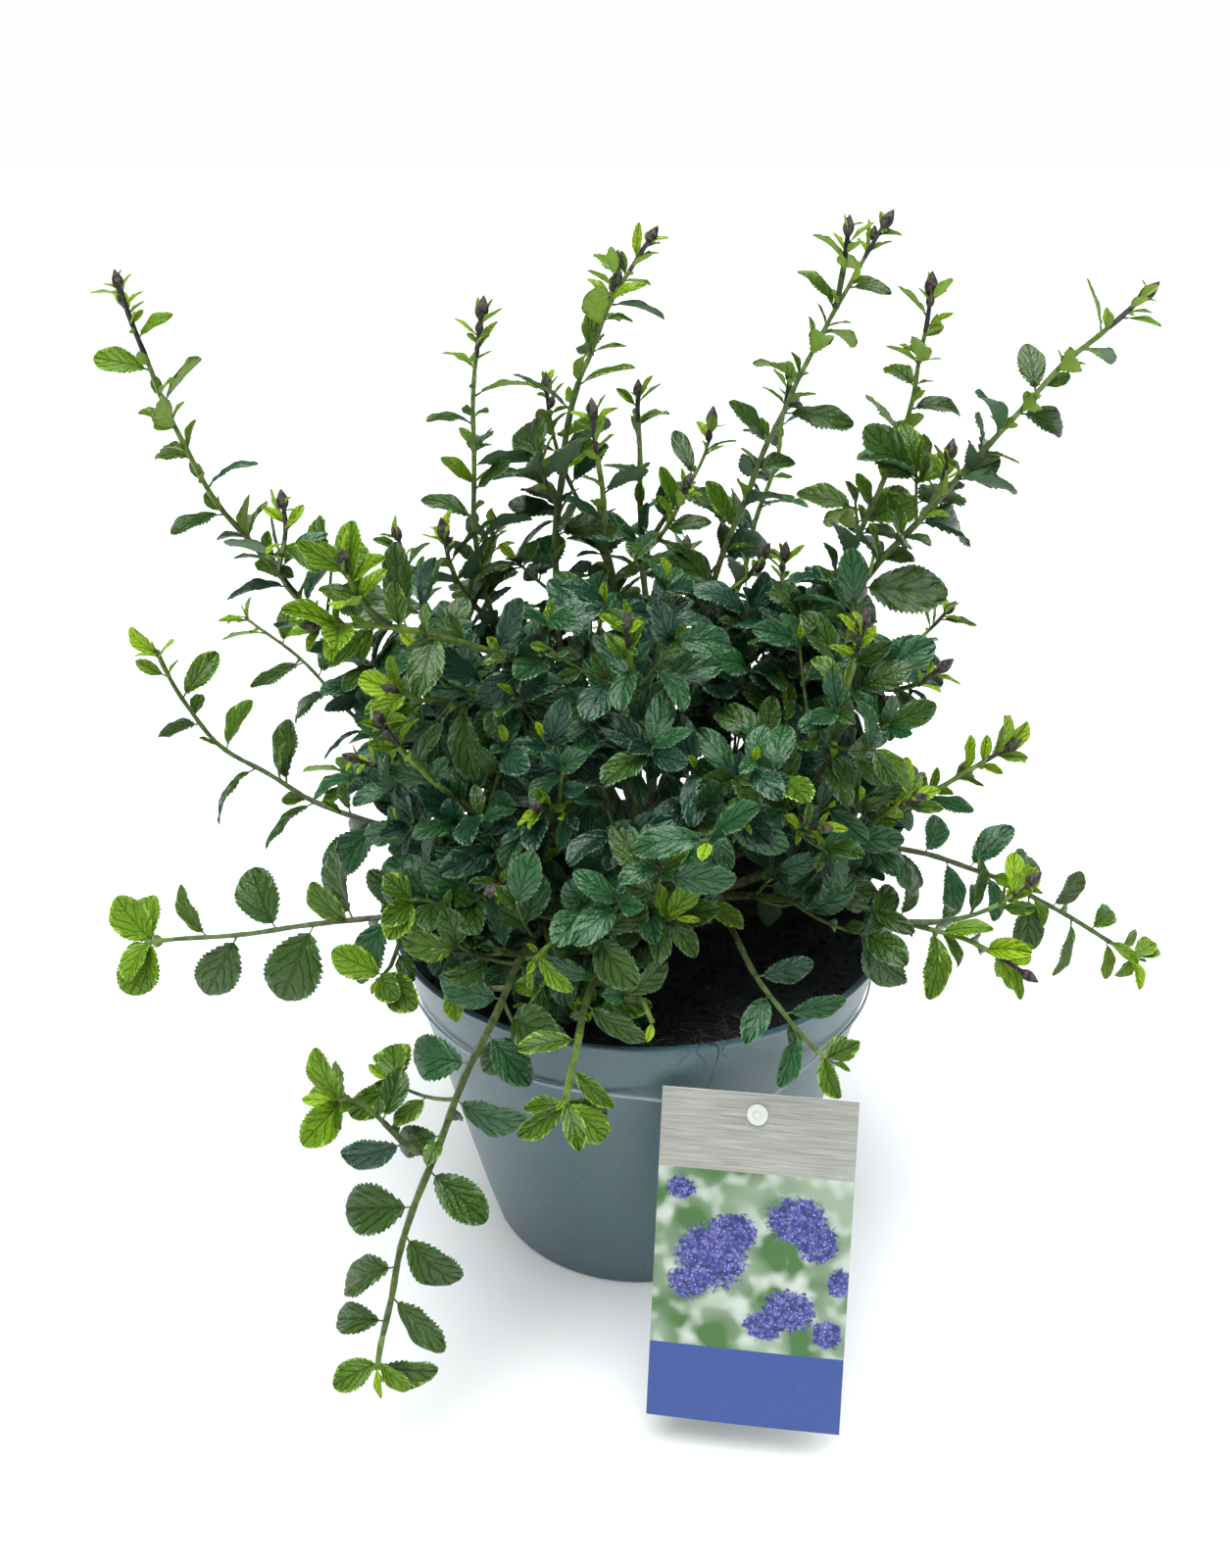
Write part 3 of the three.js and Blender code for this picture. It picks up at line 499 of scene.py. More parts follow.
class Heap:
    """The corners and faces of many small bodies, gathered for one piece."""

    def __init__(self):
        self.corners = []
        self.faces = []
        self.count = 0

    def take(self, corners, faces):
        self.faces.extend([[i + self.count for i in face] for face in faces])
        self.corners.append(corners)
        self.count += len(corners)

    def piece(self, name, slot, material):
        return piece_of(name, np.concatenate(self.corners), self.faces, [material])


def piece_of(name, corners, faces, materials, smooth_under=50):
    """A named piece from corners in millimetres, with smooth faces that meet in creases."""
    mesh = bpy.data.meshes.new(name)
    mesh.from_pydata((np.asarray(corners) * MM).tolist(), [], faces)
    piece = bpy.data.objects.new(name, mesh)
    bpy.context.scene.collection.objects.link(piece)
    return finished(piece, name, materials, smooth_under)


def finished(piece, name, materials, smooth_under=35):
    """Names a piece, gives it its materials and shading, and lets it ride on the plant's one body."""
    piece.name = piece.data.name = name
    piece.data.materials.clear()
    for made in materials:
        piece.data.materials.append(made)
    select_only(piece)
    bpy.ops.object.shade_smooth_by_angle(angle=math.radians(smooth_under))
    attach(piece, "root")
    return piece


def select_only(piece):
    bpy.ops.object.select_all(action="DESELECT")
    piece.select_set(True)
    bpy.context.view_layer.objects.active = piece


def drawn_up(stations, sides):
    """A closed round body, drawn up from a disc through (radius, height) stations in millimetres."""
    radius, height = stations[0]
    bpy.ops.object.select_all(action="DESELECT")
    bpy.ops.mesh.primitive_circle_add(
        vertices=sides, radius=radius * MM, fill_type="NGON", location=(0, 0, height * MM)
    )
    piece = bpy.context.object
    bpy.ops.object.transform_apply(location=True, rotation=True, scale=True)
    bpy.ops.object.mode_set(mode="EDIT")
    bpy.ops.mesh.select_all(action="SELECT")
    for next_radius, next_height in stations[1:]:
        rise = (0, 0, (next_height - height) * MM)
        bpy.ops.mesh.extrude_region_move(TRANSFORM_OT_translate={"value": rise})
        share = next_radius / radius
        bpy.ops.transform.resize(value=(share, share, 1), center_override=(0, 0, 0))
        radius, height = next_radius, next_height
    bpy.ops.mesh.select_all(action="SELECT")
    bpy.ops.mesh.normals_make_consistent(inside=False)
    bpy.ops.object.mode_set(mode="OBJECT")
    return piece


def apply_modifier(piece, kind, **settings):
    select_only(piece)
    modifier = piece.modifiers.new(kind.title(), kind)
    for name, value in settings.items():
        setattr(modifier, name, value)
    bpy.ops.object.modifier_apply(modifier=modifier.name)


def drill(piece, place, radius, depth, sides):
    """Cuts a round upright hole through a piece. The place is in metres, the rest in millimetres."""
    bpy.ops.object.select_all(action="DESELECT")
    bpy.ops.mesh.primitive_cylinder_add(vertices=sides, radius=radius * MM, depth=depth * MM, location=place)
    bit = bpy.context.object
    apply_modifier(piece, "BOOLEAN", object=bit, operation="DIFFERENCE", solver="EXACT")
    bpy.data.meshes.remove(bit.data)


def arrays_of(piece):
    """A modelled shape as corners in millimetres and faces, with the object itself removed."""
    corners = np.array([v.co for v in piece.data.vertices]) / MM
    faces = [list(polygon.vertices) for polygon in piece.data.polygons]
    bpy.data.meshes.remove(piece.data)
    return corners, faces


def tube(points, radii, sides, ridge=0.0):
    """A closed tube along points. Its ridges stand out of every second side."""
    points = np.asarray(points, float)
    turns = np.arange(sides) * 2 * math.pi / sides
    swell = 1 + ridge * np.cos(turns * sides / 2)
    frames = frames_of(points)
    across = np.array([f[1] for f in frames])[:, None, :]
    up = np.array([f[2] for f in frames])[:, None, :]
    ring = np.cos(turns)[None, :, None] * across + np.sin(turns)[None, :, None] * up
    reach = np.asarray(radii, float)[:, None, None] * swell[None, :, None]
    corners = (points[:, None, :] + ring * reach).reshape(-1, 3)
    faces = [list(range(sides))[::-1]]
    for row in range(len(points) - 1):
        for side in range(sides):
            a, b = row * sides + side, row * sides + (side + 1) % sides
            faces.append([a, b, b + sides, a + sides])
    faces.append([(len(points) - 1) * sides + side for side in range(sides)])
    return corners, faces


# ---- Pot ----


def pot_radius(height):
    return lerp(POT.base, POT.rim, height / POT.height)


def foot_arc(steps=4):
    """The rounded bottom edge of the pot."""
    turns = [math.pi / 2 * i / steps for i in range(steps + 1)]
    r = POT.foot_round
    return [(POT.base - r + r * math.sin(turn), r - r * math.cos(turn)) for turn in turns]


def make_pot():
    bead_foot = POT.height - POT.bead_height
    bead_radius = POT.rim + BEAD
    wall_heights = np.linspace(POT.foot_round, bead_foot, POT.wall_rings + 1)[1:]
    stations = foot_arc()
    stations += [(pot_radius(h), h) for h in wall_heights]
    # The bead, then the lip with its edges eased by under half a millimetre, then the wall's inside.
    stations += [
        (pot_radius(bead_foot) + BEAD, bead_foot + POT.bead_round),
        (bead_radius, POT.height - POT.bead_round),
        (bead_radius - 0.4, POT.height - 0.1),
        (POT.rim, POT.height),
        (POT.rim - POT.wall + 0.3, POT.height),
        (POT.rim - POT.wall, POT.height - 0.4),
        (pot_radius(POT.floor) - POT.wall, POT.floor),
    ]
    pot = drawn_up(stations, POT.sides)
    for i in range(POT.drains):
        place = heading(360 / POT.drains * i) * POT.drain_circle * MM
        drill(pot, place, POT.drain_radius, 4 * POT.floor, 32)
    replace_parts(finished(pot, "nursery_pot", [moulded_pot_plastic()]), "pot")


def moulded_pot_plastic():
    """Recycled polypropylene, injection moulded: even blue-grey, satin, with faint flow marks and dust."""
    made, tree, place = substance("Moulded polypropylene, blue-grey")
    # Flow marks, as wide as a hand and drawn up the wall.
    width, height = per_metre(71.4), per_metre(250)
    flow = add(tree, "Mapping", {"Vector": place, "Scale": (width, width, height)})
    marks = add(tree, "TexNoise", {"Vector": flow, "Scale": 1.0, "Detail": 3.0})
    # Dust and the mould's grain are finer on a real pot. These sizes are the finest that show.
    dust = add(tree, "TexNoise", {"Vector": place, "Scale": per_metre(1.11), "Detail": 2.0})
    grain = add(tree, "TexNoise", {"Vector": place, "Scale": per_metre(0.625), "Detail": 2.0})
    speck = add(tree, "MapRange", {"Value": dust, "From Min": 0.66, "From Max": 0.74})
    dusty = add(tree, "Math", {0: speck, 1: 0.25}, operation="MULTIPLY")
    shade = two_toned(tree, marks, (0.0, 1.0), "#2c484f", "#37545c")
    surface(tree, {
        "Base Color": add(tree, "Mix", {0: dusty, 6: shade, 7: "#9fb0b2"}, data_type="RGBA"),
        "Roughness": add(tree, "MapRange", {"Value": marks, "To Min": 0.36, "To Max": 0.5}),
        "Normal": add(tree, "Bump", {"Height": grain, "Strength": 0.12, "Distance": 0.3 * MM}),
        "IOR": 1.49,
        "Coat Weight": 0.3,
        "Coat Roughness": 0.25,
    })
    return made


# ---- Compost ----


def compost_height(radius):
    """The compost's level: flat in the middle and sinking to the wall."""
    share = max(0.0, (radius - COMPOST.flat_radius) / (pot_radius(COMPOST.top) - COMPOST.flat_radius))
    return lerp(COMPOST.top, COMPOST.edge_top, share) - COMPOST.sunk


def lumpy(x, y):
    """The lumps of the compost at a place, in millimetres."""
    return sum(height * noise.noise(Vector((x, y, level)) / width) for height, width, level in LUMPS)


def make_compost():
    reach = pot_radius(COMPOST.edge_top) - POT.wall - 2 * GAP
    foot = POT.floor + GAP
    stations = [(pot_radius(foot) - POT.wall - 2 * GAP, foot)]
    for i in range(COMPOST.rings):
        radius = reach * (1 - i / COMPOST.rings)
        stations.append((radius, compost_height(radius)))
    bed = drawn_up(stations, COMPOST.sides)
    for vertex in bed.data.vertices:
        x, y, z = vertex.co / MM
        if z > foot + 1 and math.hypot(x, y) < reach - 1:
            vertex.co.z += lumpy(x, y) * MM
    earth = potting_compost()
    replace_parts(finished(bed, "compost_bed", [earth]), "compost")
    make_crumbs(reach, earth)
    make_rootlets(reach)


def make_crumbs(reach, earth):
    """Loose crumbs all over the compost, most of them small."""
    bpy.ops.object.select_all(action="DESELECT")
    bpy.ops.mesh.primitive_ico_sphere_add(subdivisions=1, radius=MM)
    crumb = bpy.context.object
    for vertex in crumb.data.vertices:
        vertex.co *= 1 + CRUMB.rough * noise.noise(vertex.co / MM)
    corners, faces = arrays_of(crumb)
    random = seeded(501)
    crumbs = Heap()
    for _ in range(CRUMB.count):
        radius = (reach - 3) * math.sqrt(random())
        turn = random() * 2 * math.pi
        x, y = radius * math.cos(turn), radius * math.sin(turn)
        if radius < COLLAR.profile[0][0] + 2:
            continue
        size = lerp(*CRUMB.sizes, random() ** 3)
        spin = Euler([random() * 6 for _ in range(3)]).to_matrix()
        squat = np.array([1, lerp(CRUMB.least_width, 1, random()), lerp(*CRUMB.heights, random())]) * size
        place = [x, y, compost_height(radius) + lumpy(x, y) + CRUMB.raised * size]
        crumbs.take(corners * squat @ np.array(spin).T + place, faces)
    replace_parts(crumbs.piece("compost_crumbs", "compost", earth), "compost")


def make_rootlets(reach):
    """Fine roots that lie on the compost, and a few that hang over the rim at the front."""
    random = seeded(77)
    roots = Heap()
    for _ in range(ROOTLET.count):
        radius, turn = lerp(22, reach - 6, math.sqrt(random())), random() * 360
        if random() < FRONT_ROOTLETS.share:
            radius = lerp(FRONT_ROOTLETS.from_middle, reach - FRONT_ROOTLETS.from_wall, random())
            turn = lerp(*FRONT_ROOTLETS.bearings, random())
        spot = heading(turn) * radius
        way = random() * 360
        points = []
        for _ in range(ROOTLET.steps):
            off = math.hypot(spot[0], spot[1])
            if off >= reach - 3:
                break
            rise = compost_height(off) + lumpy(spot[0], spot[1])
            points.append([spot[0], spot[1], rise + lerp(*ROOTLET.raised, random())])
            way += lerp(-ROOTLET.bend, ROOTLET.bend, random())
            spot = spot + heading(way) * lerp(*ROOTLET.step, random())
        if len(points) > 2:
            thickness = lerp(*ROOTLET.thickness, random() ** 2)
            roots.take(*tube(points, np.linspace(thickness, ROOTLET.end, len(points)), 4))
    for root in HANGING_ROOTS:
        roots.take(*hanging_root(*root))
    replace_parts(roots.piece("rootlets", "compost", fine_roots()), "compost")


def hanging_root(bearing, drop, thickness):
    """A root that comes up out of the compost, bends over the rim and hangs down outside it."""
    rim, top = POT.rim + BEAD + 0.5, POT.height
    line = (
        (rim - 16, 126.4), (rim - 8, 127.5), (rim - 3.6, top - 1.4), (rim - 1.4, top + 0.9),
        (rim + 0.3, top - 1.2), (rim + 0.2, top - 0.5 * drop), (rim - 1.2, top - drop),
    )
    points = []
    for i, (radius, height) in enumerate(line):
        place = heading(bearing + 1.1 * math.sin(i * 1.7 + bearing)) * radius
        points.append([place[0], place[1], height])
    rounded = smooth_line(points, 4)
    return tube(rounded, np.linspace(thickness, 0.12, len(rounded)), 5)


def smooth_line(points, steps):
    """More points on the rounded line through the given ones."""
    points = np.asarray(points, float)
    ends = np.concatenate([[2 * points[0] - points[1]], points, [2 * points[-1] - points[-2]]])
    line = []
    for p0, p1, p2, p3 in zip(ends, ends[1:], ends[2:], ends[3:]):
        for t in np.arange(steps) / steps:
            line.append(
                0.5 * (2 * p1 + (p2 - p0) * t + (2 * p0 - 5 * p1 + 4 * p2 - p3) * t**2
                       + (3 * p1 - p0 - 3 * p2 + p3) * t**3)
            )
    return np.array(line + [points[-1]])


def potting_compost():
    """Moist peat and bark fines: near-black, crumbly, with a few brown fibres and a dull damp glint."""
    return mottled(
        "Moist potting compost", "#040608", "#191d20", grain=2.86, detail=6.0, rough=0.7,
        stretch=(0.35, 0.75), relief=(0.9, 1.2), sockets={"Roughness": 0.82, "Specular IOR Level": 0.3},
    )


def fine_roots():
    """Fine feeding roots: thin dark brown threads, some paler."""
    return mottled(
        "Fine roots", "#15110f", "#4a4440", grain=8.33, detail=1.0, stretch=(0.4, 0.65),
        sockets={"Roughness": 0.7},
    )


# ---- Label ----

upright = Euler((math.radians(90 - LABEL.lean), 0, 0)).to_matrix().to_4x4()
turned = Euler((0, 0, math.radians(LABEL.yaw))).to_matrix().to_4x4()
label_place = Matrix.Translation(Vector(LABEL.centre) * MM) @ turned @ upright
to_label = np.array(label_place.inverted())
hole_x = LABEL.hole_across - LABEL.width / 2
hole_y = LABEL.height / 2 - LABEL.hole_down


def make_label():
    bpy.ops.object.select_all(action="DESELECT")
    bpy.ops.mesh.primitive_grid_add(x_subdivisions=26, y_subdivisions=46, size=MM)
    card = bpy.context.object
    card.scale = (LABEL.width, LABEL.height, 1)
    bpy.ops.object.transform_apply(location=True, rotation=True, scale=True)
    for vertex in card.data.vertices:
        across, down = vertex.co.x / MM / LABEL.width, 0.5 - vertex.co.y / MM / LABEL.height
        vertex.co.z = (-LABEL.bow * (2 * across) ** 2 * down) * MM
    apply_modifier(card, "SOLIDIFY", thickness=LABEL.thickness * MM, offset=0)
    drill(card, (hole_x * MM, hole_y * MM, 0), LABEL.hole_radius, 6, 40)
    faces = [0 if polygon.normal.z > 0.5 else 1 for polygon in card.data.polygons]
    card.data.transform(label_place)
    finished(card, "printed_label", [label_print(), label_back()])
    card.data.polygons.foreach_set("material_index", faces)
    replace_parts(card, "label_card")
    make_button()
    make_band()


def make_button():
    """The button: a flat head behind the card, a shank through its hole, and a rounded head with a dimple."""
    inner = LABEL.thickness / 2 + GAP
    outer = inner + BUTTON.thickness
    stations = [
        (BUTTON.head - 0.4, -outer),
        (BUTTON.head, -outer + 0.3),
        (BUTTON.head, -inner),
        (BUTTON.shank, -inner),
        (BUTTON.shank, inner),
        (BUTTON.head, inner),
        (BUTTON.head, outer - 0.5),
        (BUTTON.head - 0.25, outer - 0.15),
        (BUTTON.head - 0.7, outer),
        (1.7, outer),
        (1.5, outer - 0.35),
        (1.1, outer - 0.35),
        (0.9, outer - 0.1),
    ]
    button = drawn_up(stations, BUTTON.sides)
    button.data.transform(label_place @ Matrix.Translation(Vector((hole_x, hole_y, 0)) * MM))
    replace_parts(finished(button, "press_button", [button_plastic()]), "label_button")


def make_band():
    """The elastic: level round the pot, and drawn out to a point behind the button."""
    behind = LABEL.thickness / 2 + 2 * GAP + BUTTON.thickness
    hook = label_place @ (Vector((hole_x, hole_y, -behind)) * MM) / MM
    level = (band_low.z + band_high.z) / 2
    radius = pot_radius(level + BAND.width / 2) + GAP + BAND.thickness / 2 + BAND.off_pot
    distance = math.hypot(hook.x, hook.y) - BAND.off_button
    bearing = math.atan2(hook.y, hook.x)
    opening = math.acos(radius / distance)
    turns = np.linspace(opening, 2 * math.pi - opening, BAND.steps)
    loop = [[math.cos(bearing) * distance, math.sin(bearing) * distance]]
    loop += [[math.cos(bearing + turn) * radius, math.sin(bearing + turn) * radius] for turn in turns]
    loop = np.array(loop)
    ahead, back = np.roll(loop, -1, axis=0), np.roll(loop, 1, axis=0)
    way = (ahead - back) / np.linalg.norm(ahead - back, axis=1)[:, None]
    outward = np.stack([way[:, 1], -way[:, 0]], axis=1)
    half, thick, ease = BAND.width / 2, BAND.thickness / 2, BAND.ease
    section = [
        (-thick, -half + ease), (-thick + ease, -half), (thick - ease, -half), (thick, -half + ease),
        (thick, half - ease), (thick - ease, half), (-thick + ease, half), (-thick, half - ease),
    ]
    corners = []
    for spot, out in zip(loop, outward):
        corners += [[*(spot + out * aside), level + rise] for aside, rise in section]
    count, sides = len(loop), len(section)
    faces = []
    for row in range(count):
        for side in range(sides):
            a, b = row * sides + side, row * sides + (side + 1) % sides
            c, d = (row + 1) % count * sides + side, (row + 1) % count * sides + (side + 1) % sides
            faces.append([a, b, d, c])
    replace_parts(piece_of("elastic_strip", corners, faces, [clear_elastic()]), "label_band")


def button_plastic():
    """White acetal, moulded: clean, opaque and slightly glossy."""
    return mottled(
        "White moulded acetal", "#bcc1ba", "#cdd1ca", grain=3.33, detail=2.0,
        sockets={"Roughness": 0.32, "IOR": 1.48},
    )


def clear_elastic():
    """Clear polyurethane strip: pale, smooth and a little see-through, so it takes the pot's grey."""
    return mottled(
        "Clear polyurethane elastic", "#7c8f97", "#96a8af", grain=5.0, detail=1.0,
        sockets={"Roughness": 0.25, "IOR": 1.5, "Alpha": 0.75},
    )


def label_back():
    """The unprinted back and edges of the card: plain white polystyrene."""
    return mottled(
        "White polystyrene card", "#dcdfdd", "#eceeec", grain=16.7, detail=2.0, sockets={"Roughness": 0.5}
    )


# Blooms on the card: the centre's place across and up from the foot's left, half width and half height.
BLOOMS = (
    (19, 57, 12, 11), (26, 66, 8, 7), (12, 48, 7, 6), (47, 72, 10, 8), (54, 65, 7, 7),
    (46, 41, 9, 7), (38, 35, 7, 5), (59, 34, 5, 5), (8, 80, 5, 4), (62, 52, 4, 5),
)
BAND_TOP = 26.0  # how high on the card the printed band ends and the boards begin
BOARDS_FOOT = 87.0


def label_print():
    """Offset print on a satin polystyrene card: old boards, a soft garden with blue blooms, a blue band."""
    made, tree, _ = substance("Printed polystyrene card")
    uv = add(tree, "UVMap", uv_map="UVMap")
    # The card's own millimetres, so that a pattern's scale is 1 over its size.
    place = add(tree, "Mapping", {"Vector": uv, "Scale": (LABEL.width, LABEL.height, 1)})
    up = add(tree, "SeparateXYZ", {0: place}).outputs["Y"]

    along = add(tree, "Mapping", {"Vector": place, "Scale": (0.035, 1.0, 1)})
    grain = add(tree, "TexNoise", {"Vector": along, "Scale": 1 / 0.588, "Detail": 6.0, "Distortion": 0.5})
    wood = two_toned(tree, grain, (0.3, 0.7), "#7d7e77", "#a6a69e")

    haze = add(tree, "TexNoise", {"Vector": place, "Scale": 1 / 18.2, "Detail": 1.5})
    mist = add(tree, "TexNoise", {"Vector": place, "Scale": 1 / 9.09, "Detail": 1.0})
    garden = two_toned(tree, haze, (0.4, 0.62), "#38602a", "#83957f")
    garden = two_toned(tree, mist, (0.5, 0.7), garden, "#b0b8ae")

    dabs = add(tree, "TexNoise", {"Vector": place, "Scale": 1 / 2.86, "Detail": 2.0})
    florets = add(tree, "TexVoronoi", {"Vector": place, "Scale": 1 / 1.333, "Randomness": 1.0})
    dots = add(tree, "TexVoronoi", {"Vector": place, "Scale": 1 / 1.053, "Randomness": 1.0})
    bloom = two_toned(tree, dabs, (0.35, 0.65), "#2b3a8c", "#7b76bd")
    bloom = two_toned(tree, florets, (0.1, 0.75), bloom, "#182058")
    bloom = two_toned(tree, dots, (0.2, 0.1), bloom, "#cfd0ee")

    ragged = add(tree, "TexNoise", {"Vector": place, "Scale": 1 / 2, "Detail": 4.0, "Roughness": 0.75})
    picture = garden
    for across, rise, half_width, half_height in BLOOMS:
        centre = (-across / half_width, -rise / half_height, 0)
        size = (1 / half_width, 1 / half_height, 1)
        centred = add(tree, "Mapping", {"Vector": place, "Location": centre, "Scale": size})
        far = add(tree, "VectorMath", {0: centred}, operation="LENGTH").outputs["Value"]
        edge = add(tree, "Math", {0: ragged, 1: 1.4, 2: far}, operation="MULTIPLY_ADD")
        picture = two_toned(tree, edge, (1.75, 1.6), picture, bloom)

    scuff = add(tree, "TexNoise", {"Vector": place, "Scale": 1 / 1.667, "Detail": 4.0})
    band = two_toned(tree, scuff, (0.3, 0.8), "#233d7b", "#2b4585")
    over_band = add(tree, "Math", {0: up, 1: BAND_TOP}, operation="GREATER_THAN")
    in_boards = add(tree, "Math", {0: up, 1: BOARDS_FOOT}, operation="GREATER_THAN")
    card = add(tree, "Mix", {0: over_band, 6: band, 7: picture}, data_type="RGBA")
    card = add(tree, "Mix", {0: in_boards, 6: card, 7: wood}, data_type="RGBA")
    surface(tree, {"Base Color": card, "Roughness": 0.38, "IOR": 1.5})
    return made


# ---- The plant's lines ----


def collar_radius(height):
    radii, heights = zip(*COLLAR.profile)
    return float(np.interp(height, heights, radii))


def collar_centre(height):
    share = height / COLLAR.height
    return np.array([COLLAR.lean[0] * share, COLLAR.lean[1] * share, COLLAR.foot + height])


def line_of(root, out, tip_of):
    """The line of a shoot, which leaves and arrives at the stated pitches and wanders a little between."""
    tip = heading(tip_of.bearing) * tip_of.reach
    tip[2] = tip_of.height
    pull = np.linalg.norm(tip - root) * STEM.pull
    first = root + heading(out, tip_of.leave) * pull
    last = tip - heading(tip_of.end, tip_of.arrive) * pull
    t = np.linspace(0, 1, STEM.steps + 1)[:, None]
    line = (1 - t) ** 3 * root + 3 * (1 - t) ** 2 * t * first + 3 * (1 - t) * t**2 * last + t**3 * tip
    path = Path(line)
    sway = np.array([noise.noise_vector(Vector(point) / STEM.wave) for point in line])
    past_bough = np.clip((path.marks - BOUGH.length) / STEM.wave, 0, 1)
    short_of_tip = np.clip((path.length - path.marks) / STEM.wave, 0, 1)
    return Path(line + sway * (STEM.wander * past_bough * short_of_tip)[:, None])


def roots_of(masses):
    """Where each mass's bough springs: evenly round its tier of the collar, in order of bearing."""
    roots = {}
    gentlest = -90
    for steepest, height, turn in TIERS:
        on_top = steepest == TIERS[-1][0]
        names = [name for name in masses if gentlest < masses[name][0].leave <= steepest]
        names.sort(key=lambda name: masses[name][0].out)
        pitch = 360 / len(names)
        drift = sum(masses[name][0].out - i * pitch for i, name in enumerate(names)) / len(names)
        for i, name in enumerate(names):
            slope = math.radians(masses[name][0].leave)
            bearing = drift + i * pitch + turn
            beside = collar_radius(height) + GAP + BOUGH.root * math.sin(slope)
            place = collar_centre(height) + heading(bearing) * (TOP_RING if on_top else beside)
            if on_top:
                place[2] += GAP + BOUGH.root * math.cos(slope)
            roots[name] = (place, bearing)
        gentlest = steepest
    return roots


# ---- Leaves ----


def leaf_form(teeth, blunt):
    """One leaf's corners as shares of its length and breadth, its faces, and how many of them lie on top.

    Each even row is a side vein, which starts low on the midrib and runs far forward to the margin, and each
    odd row is the swell between two veins. A corner is its shares along, aside, under and of the swell, and
    its row. Teeth is how many teeth the margin has in each row. Coarser faces close the blade underneath."""
    corners = [(0.0, 0.0, 0.0, 0.0, 0.0), (1.0, 0.0, 0.0, 0.0, 1.0)]
    rows = len(teeth)

    def corner(*shares):
        corners.append(shares)
        return len(corners) - 1

    def half_breadth(t):
        return 0.5 * math.sin(math.pi * t**1.12) ** blunt

    def station(share, outward):
        """Where a row lies along the leaf: early on the midrib and much further on at the margin."""
        return lerp(share**2, 1 - (1 - share) ** 1.9, outward)

    inside = range(1, rows)
    middle = [0] + [corner(station(i / rows, 0), 0, 0, 0, i / rows) for i in inside] + [1]
    beneath = [0] + [corner(station(i / rows, 0.5), 0, 1, 0, i / rows) for i in inside] + [1]
    faces, lower = [], []
    for side in (1, -1):
        turn = slice(None, None, side)
        halfway, edge, margins = [0], [0], []
        for i in inside:
            swell = i % 2
            mid, far = station(i / rows, 0.55), station(i / rows, 1)
            halfway.append(corner(mid, side * 0.52 * half_breadth(mid), 0, swell, i / rows))
            edge.append(corner(far, side * half_breadth(far), 0, 0.35 * swell, i / rows))
        halfway.append(1)
        edge.append(1)
        for i, count in enumerate(teeth):
            margin = [edge[i]]
            for k in range(count):
                tip, notch = (k + 0.7) / count, (k + 1) / count
                for share, out, rise in ((tip, 1, -LEAF.ruffle), (notch, -0.3, LEAF.ruffle)):
                    if share < 1:
                        t = station((i + share) / rows, 1)
                        aside = side * (half_breadth(t) + out * LEAF.tooth)
                        margin.append(corner(t, aside, 0, rise, (i + share) / rows))
            margins.append(margin)
            inner = [middle[i], middle[i + 1], halfway[i + 1], halfway[i]]
            outer = [halfway[i], halfway[i + 1], edge[i + 1], *margin[::-1]]
            for face in (inner, outer):
                faces.append(list(dict.fromkeys(face))[turn])
        for i in range(0, rows, 2):
            below = [beneath[i], *margins[i], *margins[i + 1], edge[i + 2], beneath[i + 2]]
            lower.append(list(dict.fromkeys(below))[turn])
    along, aside, under, swell, row = np.array(corners).T
    return SimpleNamespace(
        along=along, aside=aside, under=under, swell=swell, row=row, faces=faces + lower, upper=len(faces)
    )


GROWN_FORM = leaf_form((2, 2, 2, 2, 2, 1, 1, 1, 1, 0), 0.62)
SMALL_FORM = leaf_form((1, 2, 1, 1), 0.72)


def leaf_corners(leaves, form):
    """The corners of many leaves: each is quilted, folded, waved, arched, twisted and set in its place."""

    def each(name):
        return np.array([getattr(leaf, name) for leaf in leaves])[:, None]

    length, width, arch = each("length"), each("width"), each("arch")
    outward = 2 * form.aside
    y = form.aside * width
    z = each("fold") * np.abs(y) - LEAF.cup * width * np.abs(outward) ** 3
    z = z + form.swell * LEAF.quilt * length / LEAF.length
    wave = np.sin(2 * math.pi * (LEAF.ripples * form.along + each("phase")))
    z = z + LEAF.ripple * length * wave * outward**2
    z = z - form.under * LEAF.thickness
    turn = arch * form.along
    x = length * np.sin(turn) / arch + z * np.sin(turn)
    z = length * (np.cos(turn) - 1) / arch + z * np.cos(turn)
    twist = each("twist") * form.along
    y, z = y * np.cos(twist) - z * np.sin(twist), y * np.sin(twist) + z * np.cos(twist)
    x, y, z = x[..., None], y[..., None], z[..., None]
    return each("base") + x * each("ahead") + y * each("side") + z * each("normal")


def leaf_piece(name, leaves, materials):
    """All leaves of one tone as one piece, with a UV map across the blades and along their rows of veins."""
    corners, faces, shares, lower = [], [], [], []
    count = 0
    for form, small in ((GROWN_FORM, False), (SMALL_FORM, True)):
        group = [leaf for leaf in leaves if leaf.small == small]
        if not group:
            continue
        size = len(form.along)
        corners.append(leaf_corners(group, form).reshape(-1, 3))
        for i in range(len(group)):
            faces.extend([[k + count + i * size for k in face] for face in form.faces])
            lower.extend([0] * form.upper + [1] * (len(form.faces) - form.upper))
        shares.append(np.tile(np.stack([form.aside + 0.5, form.row], axis=1), (len(group), 1)))
        count += size * len(group)
    piece = piece_of(name, np.concatenate(corners), faces, materials, smooth_under=60)
    piece.data.polygons.foreach_set("material_index", lower)
    spots = np.zeros(len(piece.data.loops), int)
    piece.data.loops.foreach_get("vertex_index", spots)
    piece.data.uv_layers.new(name="UVMap").data.foreach_set("uv", np.concatenate(shares)[spots].ravel())
    return piece


